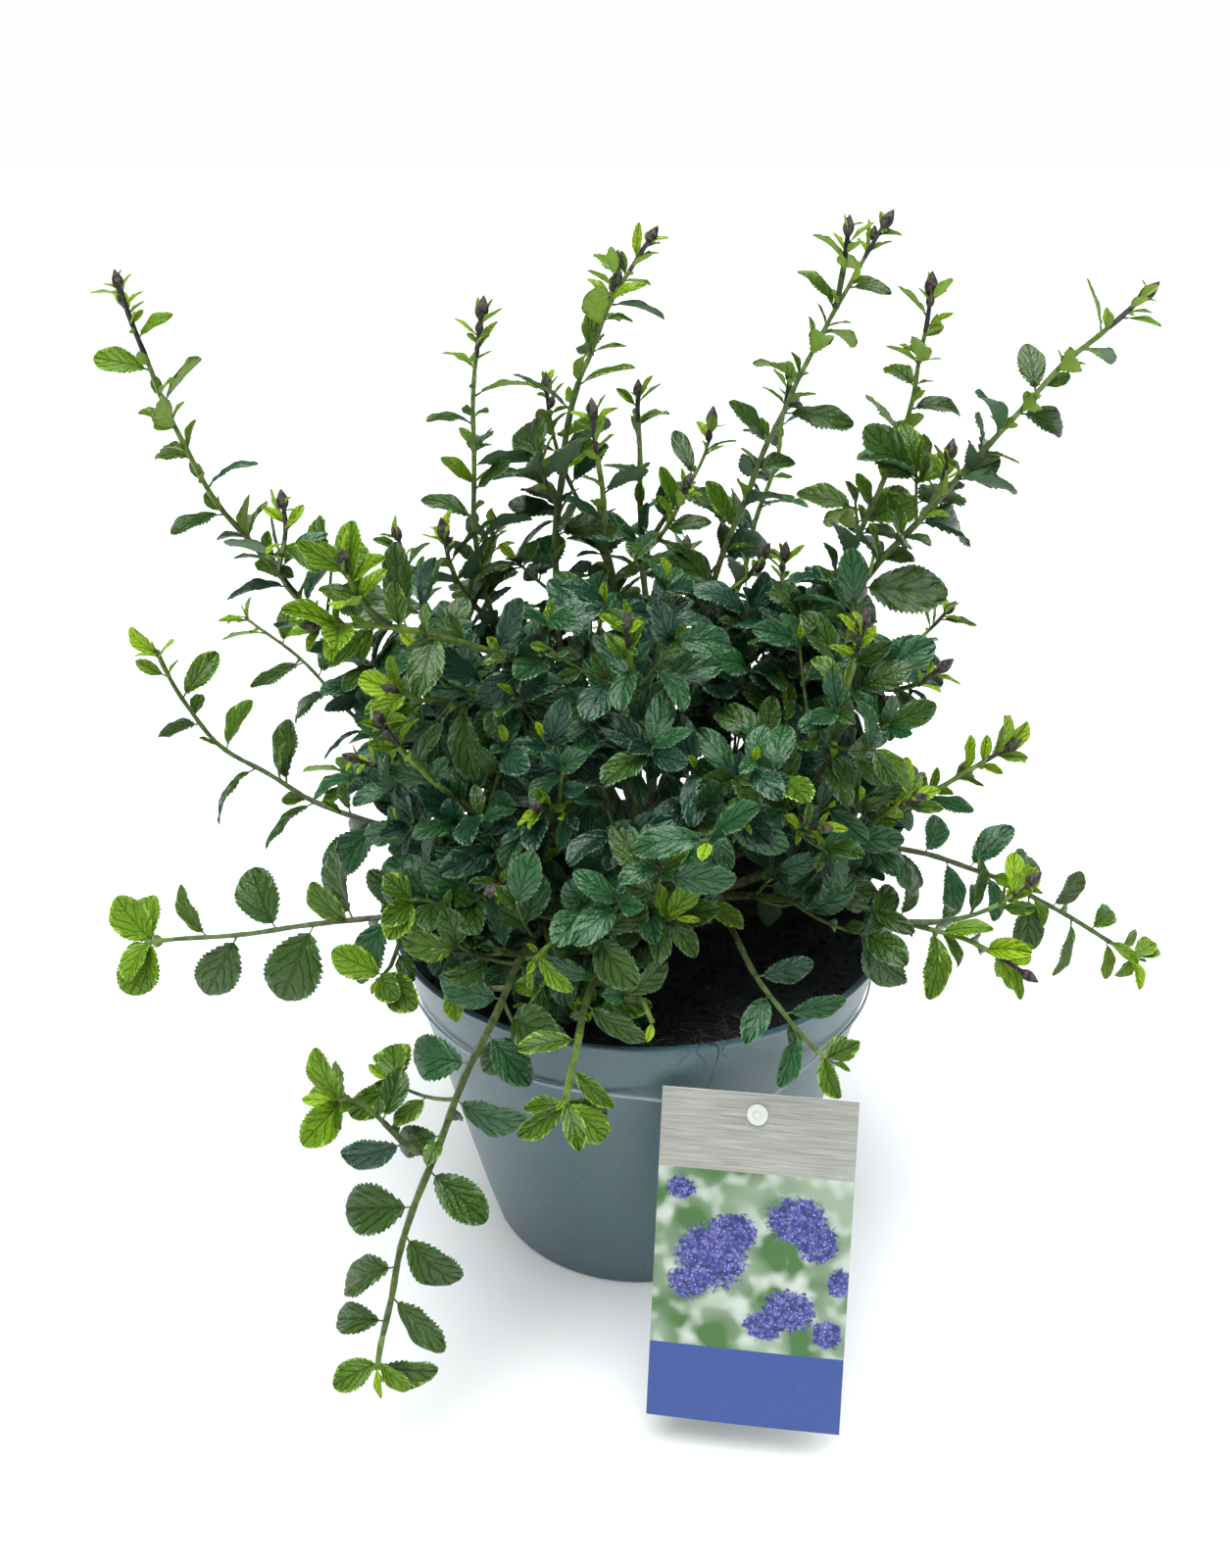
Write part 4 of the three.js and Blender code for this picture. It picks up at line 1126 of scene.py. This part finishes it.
class Crowd:
    """The points that leaves or stems already hold, kept in cells as wide as the room they need."""

    def __init__(self, room):
        self.room = room
        self.cells = defaultdict(list)

    def cell(self, point):
        return tuple(int(math.floor(c / self.room)) for c in point)

    def hold(self, points):
        for point in points:
            self.cells[self.cell(point)].append(point)

    def touches(self, points):
        for point in points:
            a, b, c = self.cell(point)
            for i in (a - 1, a, a + 1):
                for j in (b - 1, b, b + 1):
                    for k in (c - 1, c, c + 1):
                        for other in self.cells.get((i, j, k), ()):
                            if sum((point - other) ** 2) < self.room**2:
                                return True
        return False


def in_the_open(point):
    """Whether a point is free of the pot, the compost, the collar, the ground and the label."""
    x, y, z = point
    reach = math.hypot(x, y)
    if z < CLEAR.pot:
        return False
    if z < POT.height + CLEAR.pot:
        wall = pot_radius(min(z, POT.height))
        outside = reach > wall + BEAD + CLEAR.pot
        inside = reach < wall - POT.wall - CLEAR.pot and z > COMPOST.top + CLEAR.pot
        if not outside and not inside:
            return False
    if reach < COLLAR.profile[0][0] and z < COLLAR.foot + COLLAR.height + CLEAR.collar:
        return False
    spot = (to_label @ np.array([x * MM, y * MM, z * MM, 1]))[:3] / MM
    beside = abs(spot[0]) > LABEL.width / 2 + CLEAR.label or abs(spot[1]) > LABEL.height / 2 + CLEAR.label
    return beside or abs(spot[2]) > CLEAR.label


def in_a_gap(point, gaps):
    """Whether a point lies in one of the open ways, each given by its foot, radius and length."""
    way = unit(np.array(GAP_WAY))
    for foot, radius, length in gaps:
        off = point - foot
        along = off.dot(way)
        if 0 < along < length and np.linalg.norm(off - way * along) < radius:
            return True
    return False


# Points over a leaf's blade, as shares of its length and breadth.
BLADE_POINTS = (
    (0.3, 0.25), (0.3, -0.25), (0.5, 0.48), (0.5, 0), (0.5, -0.48), (0.85, 0.3), (0.85, -0.3), (1, 0),
)


def direction_off(frame_at, roll, slope):
    """The direction off a twig at a roll round it and a slope from its line, turned up a little."""
    tangent, across, up = frame_at
    out = across * math.cos(math.radians(roll)) + up * math.sin(math.radians(roll))
    ahead = tangent * math.cos(math.radians(slope)) + out * math.sin(math.radians(slope))
    return unit(ahead + np.array([0, 0, LEAF.lift]))


def turned_about(vector, axis, degrees):
    turn = math.radians(degrees)
    return vector * math.cos(turn) + np.cross(axis, vector) * math.sin(turn)


def light_at(place, ways):
    """The way a leaf at a place would face: up, to the front and away from the middle."""
    outward = unit(np.array([place[0], place[1], 1e-6]))
    return unit(np.array([0, -ways.front, LIGHT.up]) + outward * LIGHT.out)


def level_roll(place, frame_at, ways):
    """The roll round a stem that points to the side as its leaves face the light."""
    level = np.cross(light_at(place, ways), frame_at[0])
    return math.degrees(math.atan2(level.dot(frame_at[2]), level.dot(frame_at[1])))


def growth_and_painted_shade_tone(place):
    """Painted shade and light over the leaves' own tone: darker in the shaded middle, lighter towards the
    outside and the top, where more light falls and the growth is a lighter green.
    """
    x, y, z = place
    out = min(1.0, math.hypot(x, y) / TONE.reach)
    high = min(1.0, max(0.0, (z - TONE.above) / TONE.rise))
    return TONE.least + TONE.outward * out + TONE.upward * high


# ---- Growth ----


class Plant:
    """Grows the whole shrub: its stems, leaves, buds and stipules, all gathered in lists."""

    def __init__(self):
        self.stems = {"olive": Heap(), "green": Heap(), "fresh": Heap(), "dusky": Heap()}
        self.leaves = [[] for _ in TONES]
        self.buds = []
        self.stipules = []
        self.held = Crowd(CLEAR.leaf)
        self.limbs = Crowd(CLEAR.stem)
        self.gaps = [(np.array([x, y, COMPOST.top]), radius, GAP_LENGTH) for x, y, radius in GAPS]

    def between(self, low, high):
        return lerp(low, high, self.random())

    def about(self, reach):
        return self.between(-reach, reach)

    def leaf(self, root, frame_at, roll, slope, length, breadth, tone, ways, youth=0.0, stalk=1.0):
        """Bears a leaf on its stalk, smaller if need be, and says whether there was room for it."""
        ahead = direction_off(frame_at, roll, slope)
        face = light_at(root, ways)
        face = unit(face - ahead * face.dot(ahead))
        face = turned_about(face, ahead, self.between(*VARIES.turn))
        side = np.cross(face, ahead)
        base = root + ahead * (LEAF.petiole * stalk * length / LEAF.length)
        arch = self.between(*VARIES.arch) * (1 - 0.5 * youth)
        fold = self.between(*VARIES.fold) + 0.25 * youth
        breadth = breadth * self.between(*VARIES.breadth)
        phase, twist = self.random(), self.between(*VARIES.twist)
        for share in LEAF.shrinks:
            size = length * share
            width = size * breadth
            points = [
                base + ahead * (x * size) + side * (y * width) - face * (0.5 * arch * x * x * size)
                for x, y in BLADE_POINTS
            ]
            if not all(in_the_open(point) for point in points):
                continue
            spots = (base + ahead * (0.5 * size), base + ahead * size)
            if not ways.crosses and any(in_a_gap(spot, self.gaps) for spot in spots):
                continue
            if self.held.touches(points) or self.limbs.touches(points):
                continue
            self.held.hold(points)
            light = min(max(tone + self.about(ways.varies), 0), YOUNGEST)
            self.leaves[round(light / YOUNGEST * (len(TONES) - 1))].append(
                SimpleNamespace(
                    base=base, ahead=ahead, side=side, normal=face, length=size, width=width,
                    arch=max(arch, 0.02), fold=fold, phase=phase, twist=twist, small=size < LEAF.small,
                )
            )
            stalk_points = [root - ahead * 0.6, base + ahead * 0.8]
            radii = [LEAF.petiole_radius, LEAF.petiole_radius * 0.8]
            self.stems["green"].take(*tube(stalk_points, radii, LEAF.petiole_sides))
            return True
        return False

    def node(self, place, frame_at, roll, youth, grade, tone, ways):
        """One node of a stem: its main leaf, smaller ones from the bud in its axil, and two stipules."""
        grown = LEAF.length * ways.size * lerp(ways.least, 1, grade) * self.between(*NODE.varies)
        length = grown * lerp(1, YOUNG.size, youth**1.3 * ways.young)
        breadth = lerp(lerp(0.78, 1, grade) * ways.breadth, YOUNG.breadth, youth * ways.young)
        slope = lerp(LEAF.slope, YOUNG.slope, youth) + self.between(*NODE.slopes)
        self.leaf(place, frame_at, roll, slope, length, breadth, tone + YOUNG.tone * youth, ways, youth)
        fewest, most = ways.cluster
        count = int(round(self.between(fewest - 0.49, most + 0.49)))
        bright = tone + COMPANY.tone + 1.5 * youth
        narrow = breadth * COMPANY.breadth
        for i in range(count):
            for _ in range(COMPANY.tries):
                lean = self.between(*COMPANY.slopes)
                turn = roll + self.between(*COMPANY.turns) * (1 if i % 2 else -1)
                size = max(length, 0.7 * grown) * self.between(*COMPANY.sizes)
                spot = place + frame_at[0] * self.between(*COMPANY.spread)
                if self.leaf(spot, frame_at, turn, lean, size, narrow, bright, ways, 0.3, 0.6):
                    break
        for side in STIPULE.turns:
            out = direction_off(frame_at, roll + side, STIPULE.slope)
            root = place + out * STIPULE.off_stem
            self.stipules.append((root, out, frame_at[0], self.between(*STIPULE.lengths)))

    def bud_at(self, end, frame_at, size):
        self.buds.append((end - frame_at[0] * BUD.sunk, frame_at, size))

    def crest(self, end, frame_at, roll, tone, ways):
        """A flower bud, at times with a second one beside it, held by narrow young leaves."""
        tangent = frame_at[0]
        self.bud_at(end, frame_at, self.between(*BUD.sizes))
        if self.random() < 0.5:
            second = direction_off(frame_at, self.between(0, 360), 24)
            across = unit(np.cross(second, frame_at[2]))
            below = end - tangent * self.between(5, 8)
            self.bud_at(below + second * 2.2, (second, across, np.cross(second, across)), BUD.second_size)
        narrow = CREST.breadth * ways.crest**0.7
        for i in range(CREST.leaves):
            slope = self.between(*CREST.slopes)
            size = self.between(*CREST.sizes) * ways.crest
            spot = end - tangent * self.between(*CREST.spread) * ways.crest
            turn = roll + GOLDEN_ANGLE * i
            self.leaf(spot, frame_at, turn, slope, size, narrow, tone + ways.glow, ways, 0.9, 0.4)

    def rosette(self, end, frame_at, roll, tone, ways):
        """A leafy tip: small leaves to two sides and round it, and the newest in its heart."""
        for i in range(ROSETTE.leaves):
            slope = self.between(*ROSETTE.slopes)
            size = self.between(*ROSETTE.sizes) * ways.size * ways.crest
            spot = end - frame_at[0] * self.between(*ROSETTE.spread)
            turn = roll + 180 * (i % 2) + self.about(ROSETTE.turn) if i < 3 else roll + GOLDEN_ANGLE * i
            self.leaf(spot, frame_at, turn, slope, size, ways.breadth, tone + ROSETTE.tone, ways, 0.3, 0.5)
        for i in range(HEART.leaves):
            turn, slope = roll + 90 * i, self.between(*HEART.slopes)
            self.leaf(end, frame_at, turn, slope, HEART.size, HEART.breadth, YOUNGEST, ways, 1.0, 0.2)

    def spur(self, place, frame_at, roll, tone, ways, lengths=SPUR.lengths, bud_chance=0.0):
        """A short twig, where there is room for one, with leaves by turns and a tuft at its tip."""
        slope = SPUR.slope + self.about(SPUR.slope_varies)
        wanted = self.between(*lengths)
        ahead = direction_off(frame_at, roll, slope)
        rise = np.array([0, 0, self.between(*SPUR.rise)])
        for share in SPUR.shrinks:
            length = wanted * share
            steps = np.linspace(0, 1, SPUR.steps + 1)
            points = [place + ahead * (length * t) + rise * (length * t * t) for t in steps]
            free = all(in_the_open(point) for point in points[2:]) and not in_a_gap(points[-1], self.gaps)
            if free and not self.limbs.touches(points[2:]):
                break
        else:
            return
        self.limbs.hold(points[1:])
        self.stems["green"].take(*tube(points, np.linspace(SPUR.root, SPUR.tip, len(points)), SPUR.sides))
        line = Path(points)
        frames = frames_of(points)
        count = max(2, int(length / SPUR.spacing))
        grown = LEAF.length * ways.size
        for i in range(1, count + 1):
            distance = line.length * i / (count + 0.4)
            at = frames[min(int(distance / line.length * SPUR.steps), SPUR.steps)]
            turn = roll + 180 * (i % 2) + self.about(SPUR.turn)
            size = grown * self.between(*SPUR.sizes)
            spot = line.at(distance)
            self.leaf(spot, at, turn, LEAF.slope, size, ways.breadth, tone + 0.5 * i / count, ways)
            if self.random() < SPUR.second:
                small = size * self.between(0.4, 0.65)
                self.leaf(spot, at, turn + 80, 46, small, ways.breadth, tone + 0.9, ways, 0.2, 0.6)
        self.tuft(line.at(line.length), frames[-1], roll, grown, tone, ways, bud_chance)

    def tuft(self, end, frame_at, roll, grown, tone, ways, bud_chance):
        """The tip of a spur: its leaves, and by chance a bud and a few leaves that are quite new."""
        if self.random() < bud_chance:
            self.bud_at(end, frame_at, self.between(*BUD.spur_sizes))
        if self.random() < SPUR.bright:
            for i in range(3):
                size, lean = self.between(5, 9), self.between(8, 34)
                self.leaf(end, frame_at, roll + 60 + 120 * i, lean, size, 0.46, YOUNGEST, ways, 0.8, 0.3)
        for i in range(TUFT.leaves):
            size = grown * self.between(*TUFT.sizes)
            lean = self.between(*TUFT.slopes)
            spot = end - frame_at[0] * self.between(*TUFT.spread)
            turn = roll + GOLDEN_ANGLE * i + self.about(TUFT.turn)
            self.leaf(spot, frame_at, turn, lean, size, ways.breadth, tone + 0.4, ways, 0.1, 0.5)

    def marks_along(self, path, start, ways):
        """How far along a stem each node lies, from its tip down."""
        marks = []
        distance = path.length - NODE.first
        while distance > start + NODE.last:
            marks.append(distance)
            gap = ways.spacing * (1 - NODE.crowding * math.exp(-(len(marks) - 1) / NODE.crowded))
            distance -= gap * self.between(*NODE.varies)
        return marks

    def stem(self, path, start, ways):
        """All that a stem bears: what grows at its tip, then its nodes, from its foot up."""
        marks = self.marks_along(path, start, ways)
        roll = self.between(0, 360)
        frames = frames_of([path.at(start)] + [path.at(mark) for mark in marks[::-1]])
        end = path.at(path.length)
        last = level_roll(end, frames[-1], ways) if ways.flat else roll + GOLDEN_ANGLE * len(marks)
        bear_tip = self.crest if ways.bud else self.rosette
        # The tip's leaves take painted shade and light from where the tip stands.
        bear_tip(end, frames[-1], last, ways.tone + growth_and_painted_shade_tone(end), ways)
        for rank, mark in reversed(list(enumerate(marks))):
            place = path.at(mark)
            at = frames[len(marks) - rank]
            roll += GOLDEN_ANGLE
            turn = roll
            if ways.flat:
                turn = level_roll(place, at, ways) + 180 * (rank % 2) + self.about(NODE.turn)
            youth = max(0.0, 1 - rank / YOUNG.nodes)
            grade = min(1.0, (path.length - mark) / ways.grade)
            # Painted shade and light in each leaf's tone: darker in the bush's shaded middle, lighter outside
            # and on top.
            here = ways.tone * min(1.0, TONE.along * mark / path.length) + growth_and_painted_shade_tone(place)
            top = DOME.top - DOME.falls * place[1]
            inside = math.hypot(place[0], place[1]) < DOME.radius and DOME.foot < place[2] < top
            if inside and not ways.bare and rank > 1:
                size = LEAF.length * ways.size * self.between(*NODE.varies)
                self.leaf(place, at, turn, LEAF.slope, size, ways.breadth, here, ways)
                for aside in DOME.spur_turns:
                    self.spur(place, at, turn + aside, here, ways)
                continue
            if rank > YOUNG.nodes and mark < ways.inner * path.length and self.random() < ways.spurs:
                aside = turn + (180 if ways.flat else 90)
                bud_chance = 0.5 if ways.bud else 0.0
                self.spur(place, at, aside, here + 0.4, ways, OPEN_SPUR_LENGTHS, bud_chance)
            self.node(place, at, turn, youth, grade, here, ways)

    def draw_stem(self, path, start, root_radius, tip_radius, ways):
        """The stem's body: ridged, swollen at its nodes, olive, then greener, and dusky under a bud."""
        dusky = path.length
        if ways.bud:
            dusky = path.length - (1 if start else FORK.dusky) * ways.dusky
        green, fresh = lerp(start, dusky, ways.green), lerp(start, dusky, ways.fresh)
        ends = (start, green, fresh, dusky, path.length)
        for kind, low, high in zip(self.stems, ends, ends[1:]):
            if low == high:
                continue
            marks = np.linspace(low, high, max(2, int((high - low) / STEM.ring) + 1))
            shares = (marks - start) / (path.length - start)
            radii = lerp(root_radius, tip_radius, shares**ways.slim)
            radii = radii * (1 + STEM.swell * np.sin(marks * 2 * math.pi / ways.spacing))
            self.stems[kind].take(*tube(path.at(marks), radii, STEM.sides, ridge=STEM.ridge))


def grow():
    """The whole plant, and the lines of each mass's main shoot and forks."""
    plant = Plant()
    roots = roots_of(MASSES)
    lines = {}
    for name, (main, *forks) in MASSES.items():
        trunk_line = line_of(*roots[name], main)
        forks += TWIGS.get(name, [])
        branches = [line_of(trunk_line.at(side.share * trunk_line.length), side.out, side) for side in forks]
        lines[name] = (trunk_line, branches)
        for path in (trunk_line, *branches):
            plant.limbs.hold(path.at(np.arange(0, path.length, STEM.room_step)))
        if name in BARE_STEMS:
            marks = np.arange(*BARE_STEMS[name], BARE_ROOM)
            plant.gaps += [(place, BARE_ROOM, BARE_LENGTH) for place in trunk_line.at(marks)]
    start = BOUGH.length + GAP
    for seed, (name, (trunk_line, branches)) in enumerate(lines.items(), start=1):
        plant.random = seeded(seed)
        ways = HABITS[name]
        plant.draw_stem(trunk_line, start, BOUGH.tip, STEM.tip * ways.stout, ways)
        plant.stem(trunk_line, max(start, ways.bare * trunk_line.length), ways)
        for path in branches:
            plant.draw_stem(path, 0.0, FORK.root, STEM.tip * FORK.tip, ways)
            plant.stem(path, FORK.bare, ways)
    return plant, lines


def make_plant():
    plant, lines = grow()
    masses = ["foliage_" + name for name in MASSES]
    pale = leaf_underside("Leaf underside, pale", "#4b6a48")
    young = leaf_underside("Leaf underside, young", "#7c9c34")
    for i, (name, blade, vein, gloss) in enumerate(TONES):
        materials = [leaf_skin(name, blade, vein, gloss), pale if i < GROWN_TONES else young]
        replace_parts(leaf_piece(name, plant.leaves[i], materials), *masses)
    rinds = {
        "olive": stem_skin("Ridged olive stem", "#222c17", "#4a5729"),
        "green": stem_skin("Young green stem", "#2b3b18", "#4b5f25"),
        "fresh": stem_skin("Fresh green stem", "#41591c", "#647d2d"),
        "dusky": stem_skin("Dusky stem under a bud", "#181517", "#332d2c"),
    }
    for kind, heap in plant.stems.items():
        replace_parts(heap.piece("stems_" + kind, "foliage", rinds[kind]), *masses)
    make_buds(plant.buds, masses)
    make_stipules(plant.stipules, masses)
    make_boughs(lines)
    make_collar()


def leaf_skin(name, blade, vein, gloss):
    """A leathery evergreen leaf: quilted between sunken veins, waxy, with a sheen that young ones lack."""
    made, tree, place = substance("Waxy leaf, " + name.removeprefix("leaves_"))
    spot = add(tree, "SeparateXYZ", {0: add(tree, "UVMap", uv_map="UVMap")})
    # Five pairs of side veins, one on each even row of the blade, which stray a little.
    ripple = add(tree, "TexNoise", {"Vector": place, "Scale": per_metre(4.17), "Detail": 1.0})
    to_sides = {"From Min": 0.3, "From Max": 0.7, "To Min": -0.03, "To Max": 0.03}
    stray = add(tree, "MapRange", {"Value": ripple, **to_sides})
    row = add(tree, "Math", {0: spot.outputs["Y"], 1: stray}, operation="ADD")
    wave = add(tree, "Math", {0: row, 1: 5 * math.pi}, operation="MULTIPLY")
    pillow = add(tree, "Math", {0: add(tree, "Math", {0: wave}, operation="SINE")}, operation="ABSOLUTE")
    quilt = add(tree, "MapRange", {"Value": pillow, "From Max": 0.34}, interpolation_type="SMOOTHSTEP")
    # The midrib, in the middle of the blade.
    off = add(tree, "Math", {0: spot.outputs["X"], 1: 0.5}, operation="SUBTRACT")
    side = add(tree, "Math", {0: off}, operation="ABSOLUTE")
    rib = add(tree, "MapRange", {"Value": side, "From Max": 0.05}, interpolation_type="SMOOTHSTEP")
    height = add(tree, "Math", {0: quilt, 1: rib}, operation="MULTIPLY")
    # Puckers between the veins, and the net of the smallest veins, which is drawn coarser so that it shows.
    puckers = add(tree, "TexNoise", {"Vector": place, "Scale": per_metre(1.54), "Detail": 2.0})
    net = add(tree, "TexVoronoi", {"Vector": place, "Scale": per_metre(0.909)})
    pebble = add(tree, "Math", {0: net, 1: -0.5, 2: height}, operation="MULTIPLY_ADD")
    relief = add(tree, "Math", {0: puckers, 1: 0.42, 2: pebble}, operation="MULTIPLY_ADD")
    # The blade darkens to its veins and midrib, partly their own colour and partly painted shade in their
    # sunken grooves, and lighter and darker flecks and clouds lie over both.
    to_veins = {"From Max": 0.6, "To Min": 0.7, "To Max": 0.0}
    vein_and_groove_shade = add(tree, "MapRange", {"Value": height, **to_veins})
    shade = add(tree, "Mix", {0: vein_and_groove_shade, 6: blade, 7: vein}, data_type="RGBA")
    clouds = add(tree, "TexNoise", {"Vector": place, "Scale": per_metre(25), "Detail": 1.0})
    both = {0: 0.4, 6: clouds.outputs["Color"], 7: puckers.outputs["Color"]}
    flecks = add(tree, "Mix", both, data_type="RGBA")
    to_lights = {"From Min": 0.35, "From Max": 0.65, "To Min": 0.8, "To Max": 1.2}
    lit = add(tree, "MapRange", {"Value": flecks, **to_lights})
    surface(tree, {
        "Base Color": add(tree, "HueSaturation", {"Color": shade, "Value": lit}),
        "Normal": add(tree, "Bump", {"Height": relief, "Strength": 0.9, "Distance": 0.6 * MM}),
        "Roughness": 0.34,
        "IOR": 1.45,
        "Coat Weight": gloss / 3,
        "Coat Roughness": 0.2,
        "Specular IOR Level": gloss,
        "Specular Tint": "#b4e4bc" if gloss > 0.6 else "#c4e2a4",
    })
    return made


def leaf_underside(name, blade):
    """The leaf's paler and duller underside, matt with fine down in soft clouds."""
    made, tree, place = substance(name)
    down = add(tree, "TexNoise", {"Vector": place, "Scale": per_metre(2), "Detail": 3.0})
    to_lights = {"From Min": 0.3, "From Max": 0.7, "To Min": 0.85, "To Max": 1.15}
    lit = add(tree, "MapRange", {"Value": down, **to_lights})
    surface(tree, {
        "Base Color": add(tree, "HueSaturation", {"Color": blade, "Value": lit}),
        "Normal": add(tree, "Bump", {"Height": down, "Strength": 0.4, "Distance": 0.4 * MM}),
        "Roughness": 0.65,
    })
    return made


def stem_skin(name, dark, light):
    """Smooth young rind, finely mottled and slightly waxy."""
    return mottled(
        name, dark, light, grain=2.38, detail=3.0, rough=0.6, stretch=(0.35, 0.65), relief=(0.35, 0.4),
        sockets={"Roughness": 0.5, "Specular IOR Level": 0.3},
    )


def make_buds(buds, masses):
    """Closed flower buds: pointed cones of overlapping scales."""
    stations = ((0.9, 0), (1.8, 0.9), (2.6, 2.4), (2.85, 4.0), (2.5, 5.8), (1.6, 7.6), (0.7, 9.2), (0.12, 10))
    corners, faces = arrays_of(drawn_up(stations, 10))
    turn = np.arctan2(corners[:, 1], corners[:, 0])
    scales = 1 + 0.13 * np.cos(5 * turn) * np.cos(corners[:, 2] * 1.4)
    corners[:, :2] *= scales[:, None]
    heap = Heap()
    for root, (tangent, across, up), size in buds:
        heap.take(root + corners * size @ np.array([across, up, tangent]), faces)
    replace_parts(heap.piece("flower_buds", "foliage", bud_scales()), *masses)


def bud_scales():
    """Dry overlapping bud scales: grey-brown to purple, downy. The down is drawn coarser so that it shows."""
    return mottled(
        "Downy bud scales", "#191617", "#544c45", grain=1.43, detail=3.0, stretch=(0.38, 0.64),
        relief=(0.6, 0.5), sockets={"Roughness": 0.75, "Specular IOR Level": 0.3},
    )


def make_stipules(stipules, masses):
    """The small dry scales in pairs at each node."""
    heap = Heap()
    for place, out, tangent, length in stipules:
        side = unit(np.cross(out, tangent)) * STIPULE.half_width
        thick = unit(np.cross(side, out)) * STIPULE.thickness
        heap.take(
            np.array([place + side, place - side, place + thick, place + out * length]),
            [[0, 1, 2], [0, 2, 3], [2, 1, 3], [1, 0, 3]],
        )
    dry = stem_skin("Dry stipule", "#4b4038", "#75695a")
    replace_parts(heap.piece("stipules", "foliage", dry), *masses)


def make_boughs(lines):
    """The bare foot of each shoot, with its bark's ridges and furrows."""
    heap = Heap()
    marks = np.arange(0, BOUGH.length + 0.1, BOUGH.ring)
    radii = lerp(BOUGH.root, BOUGH.tip, marks / BOUGH.length)
    turns = np.tile(np.arange(BOUGH.sides) * 2 * math.pi / BOUGH.sides, len(marks))
    rows = np.repeat(marks, BOUGH.sides)
    for seed, (path, _) in enumerate(lines.values(), start=1):
        corners, faces = tube(path.at(marks), radii, BOUGH.sides)
        centres = np.repeat(path.at(marks), BOUGH.sides, axis=0)
        furrow = np.sin(3 * turns + 0.5 * np.sin(rows * 0.35 + seed)) * np.sin(rows * 0.5 + 2 * turns + seed)
        heap.take(centres + (corners - centres) * (1 + BOUGH.furrow * furrow)[:, None], faces)
    bark = shrub_bark("Young bark", "#3c3b26", "#6c7048")
    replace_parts(heap.piece("boughs_bark", "bough", bark), *["bough_" + name for name in MASSES])


def make_collar():
    """The short stem at the foot: flared into root spurs, with furrowed bark."""
    stations = [(collar_radius(h), h) for h in np.linspace(0, COLLAR.height, COLLAR.rings)]
    stations.append((COLLAR.profile[-1][0] - 2.5, COLLAR.height))
    collar = drawn_up(stations, COLLAR.sides)
    for vertex in collar.data.vertices:
        x, y, z = vertex.co / MM
        turn = math.atan2(y, x)
        flare = 0.16 * math.cos(5 * turn + 0.6) * max(0.0, 1 - z / 16) ** 2
        furrow = noise.noise(Vector((4.5 * math.cos(turn), 4.5 * math.sin(turn), z * 0.09)))
        swell = 1 + min(flare, 0.02) + 0.05 * furrow - 0.03
        centre = collar_centre(z)
        vertex.co = Vector((x * swell + centre[0], y * swell + centre[1], centre[2])) * MM
    bark = shrub_bark("Old bark", "#2f271f", "#6f6253")
    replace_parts(finished(collar, "root_collar_bark", [bark]), "root_collar")


def shrub_bark(name, dark, light):
    """Thin grey-brown bark, furrowed lengthwise, greener where it is young."""
    return mottled(
        name, dark, light, grain=2.63, detail=5.0, rough=0.7, drawn=0.3, stretch=(0.35, 0.65),
        relief=(0.8, 0.8), sockets={"Roughness": 0.85},
    )


# ---- Stage ----


def make_stage():
    bpy.ops.object.select_all(action="DESELECT")
    bpy.ops.mesh.primitive_plane_add(size=60)
    floor = bpy.context.object
    floor.name = "floor"
    made, tree, _ = substance("Pale studio floor")
    surface(tree, {"Base Color": "#e9ebeb", "Roughness": 0.7})
    floor.data.materials.append(made)

    world = bpy.data.worlds.new("Studio")
    bpy.context.scene.world = world
    world.use_nodes = True
    sky = world.node_tree
    backdrop = sky.nodes["Background"]
    backdrop.inputs["Color"].default_value = srgb("#fbfdff")
    height = add(sky, "SeparateXYZ", {0: add(sky, "TexCoord").outputs["Generated"]}).outputs["Z"]
    # White at the horizon, dim above it, and a bright softbox overhead.
    dims = {"From Min": 0.1, "From Max": 0.3, "To Min": 1.02, "To Max": 0.18}
    glows = {"From Min": 0.83, "From Max": 0.94, "To Min": 0.0, "To Max": 8.5}
    lower = add(sky, "MapRange", {"Value": height, **dims})
    upper = add(sky, "MapRange", {"Value": height, **glows})
    both = add(sky, "Math", {0: lower, 1: upper}, operation="ADD")
    sky.links.new(both.outputs[0], backdrop.inputs["Strength"])

    # The lamp and the camera, with their places in metres.
    key = bpy.data.lights.new("key", "AREA")
    key.size = 0.8
    key.energy = 9
    lamp = bpy.data.objects.new("key", key)
    lamp.location = (-0.6, -0.9, 1.3)
    lamp.rotation_euler = (Vector((0, 0, 0.2)) - lamp.location).to_track_quat("-Z", "Y").to_euler()
    bpy.context.scene.collection.objects.link(lamp)

    camera = bpy.data.cameras.new("camera")
    camera.lens = 31.5
    camera.sensor_width = 36
    eye = bpy.data.objects.new("camera", camera)
    eye.location = (-0.010, -0.4677, 0.4061)
    eye.rotation_euler = (math.radians(65), 0, 0)
    bpy.context.scene.collection.objects.link(eye)
    bpy.context.scene.camera = eye
    bpy.context.scene.view_settings.view_transform = "Standard"


make_stage()
make_pot()
make_compost()
make_label()
make_plant()
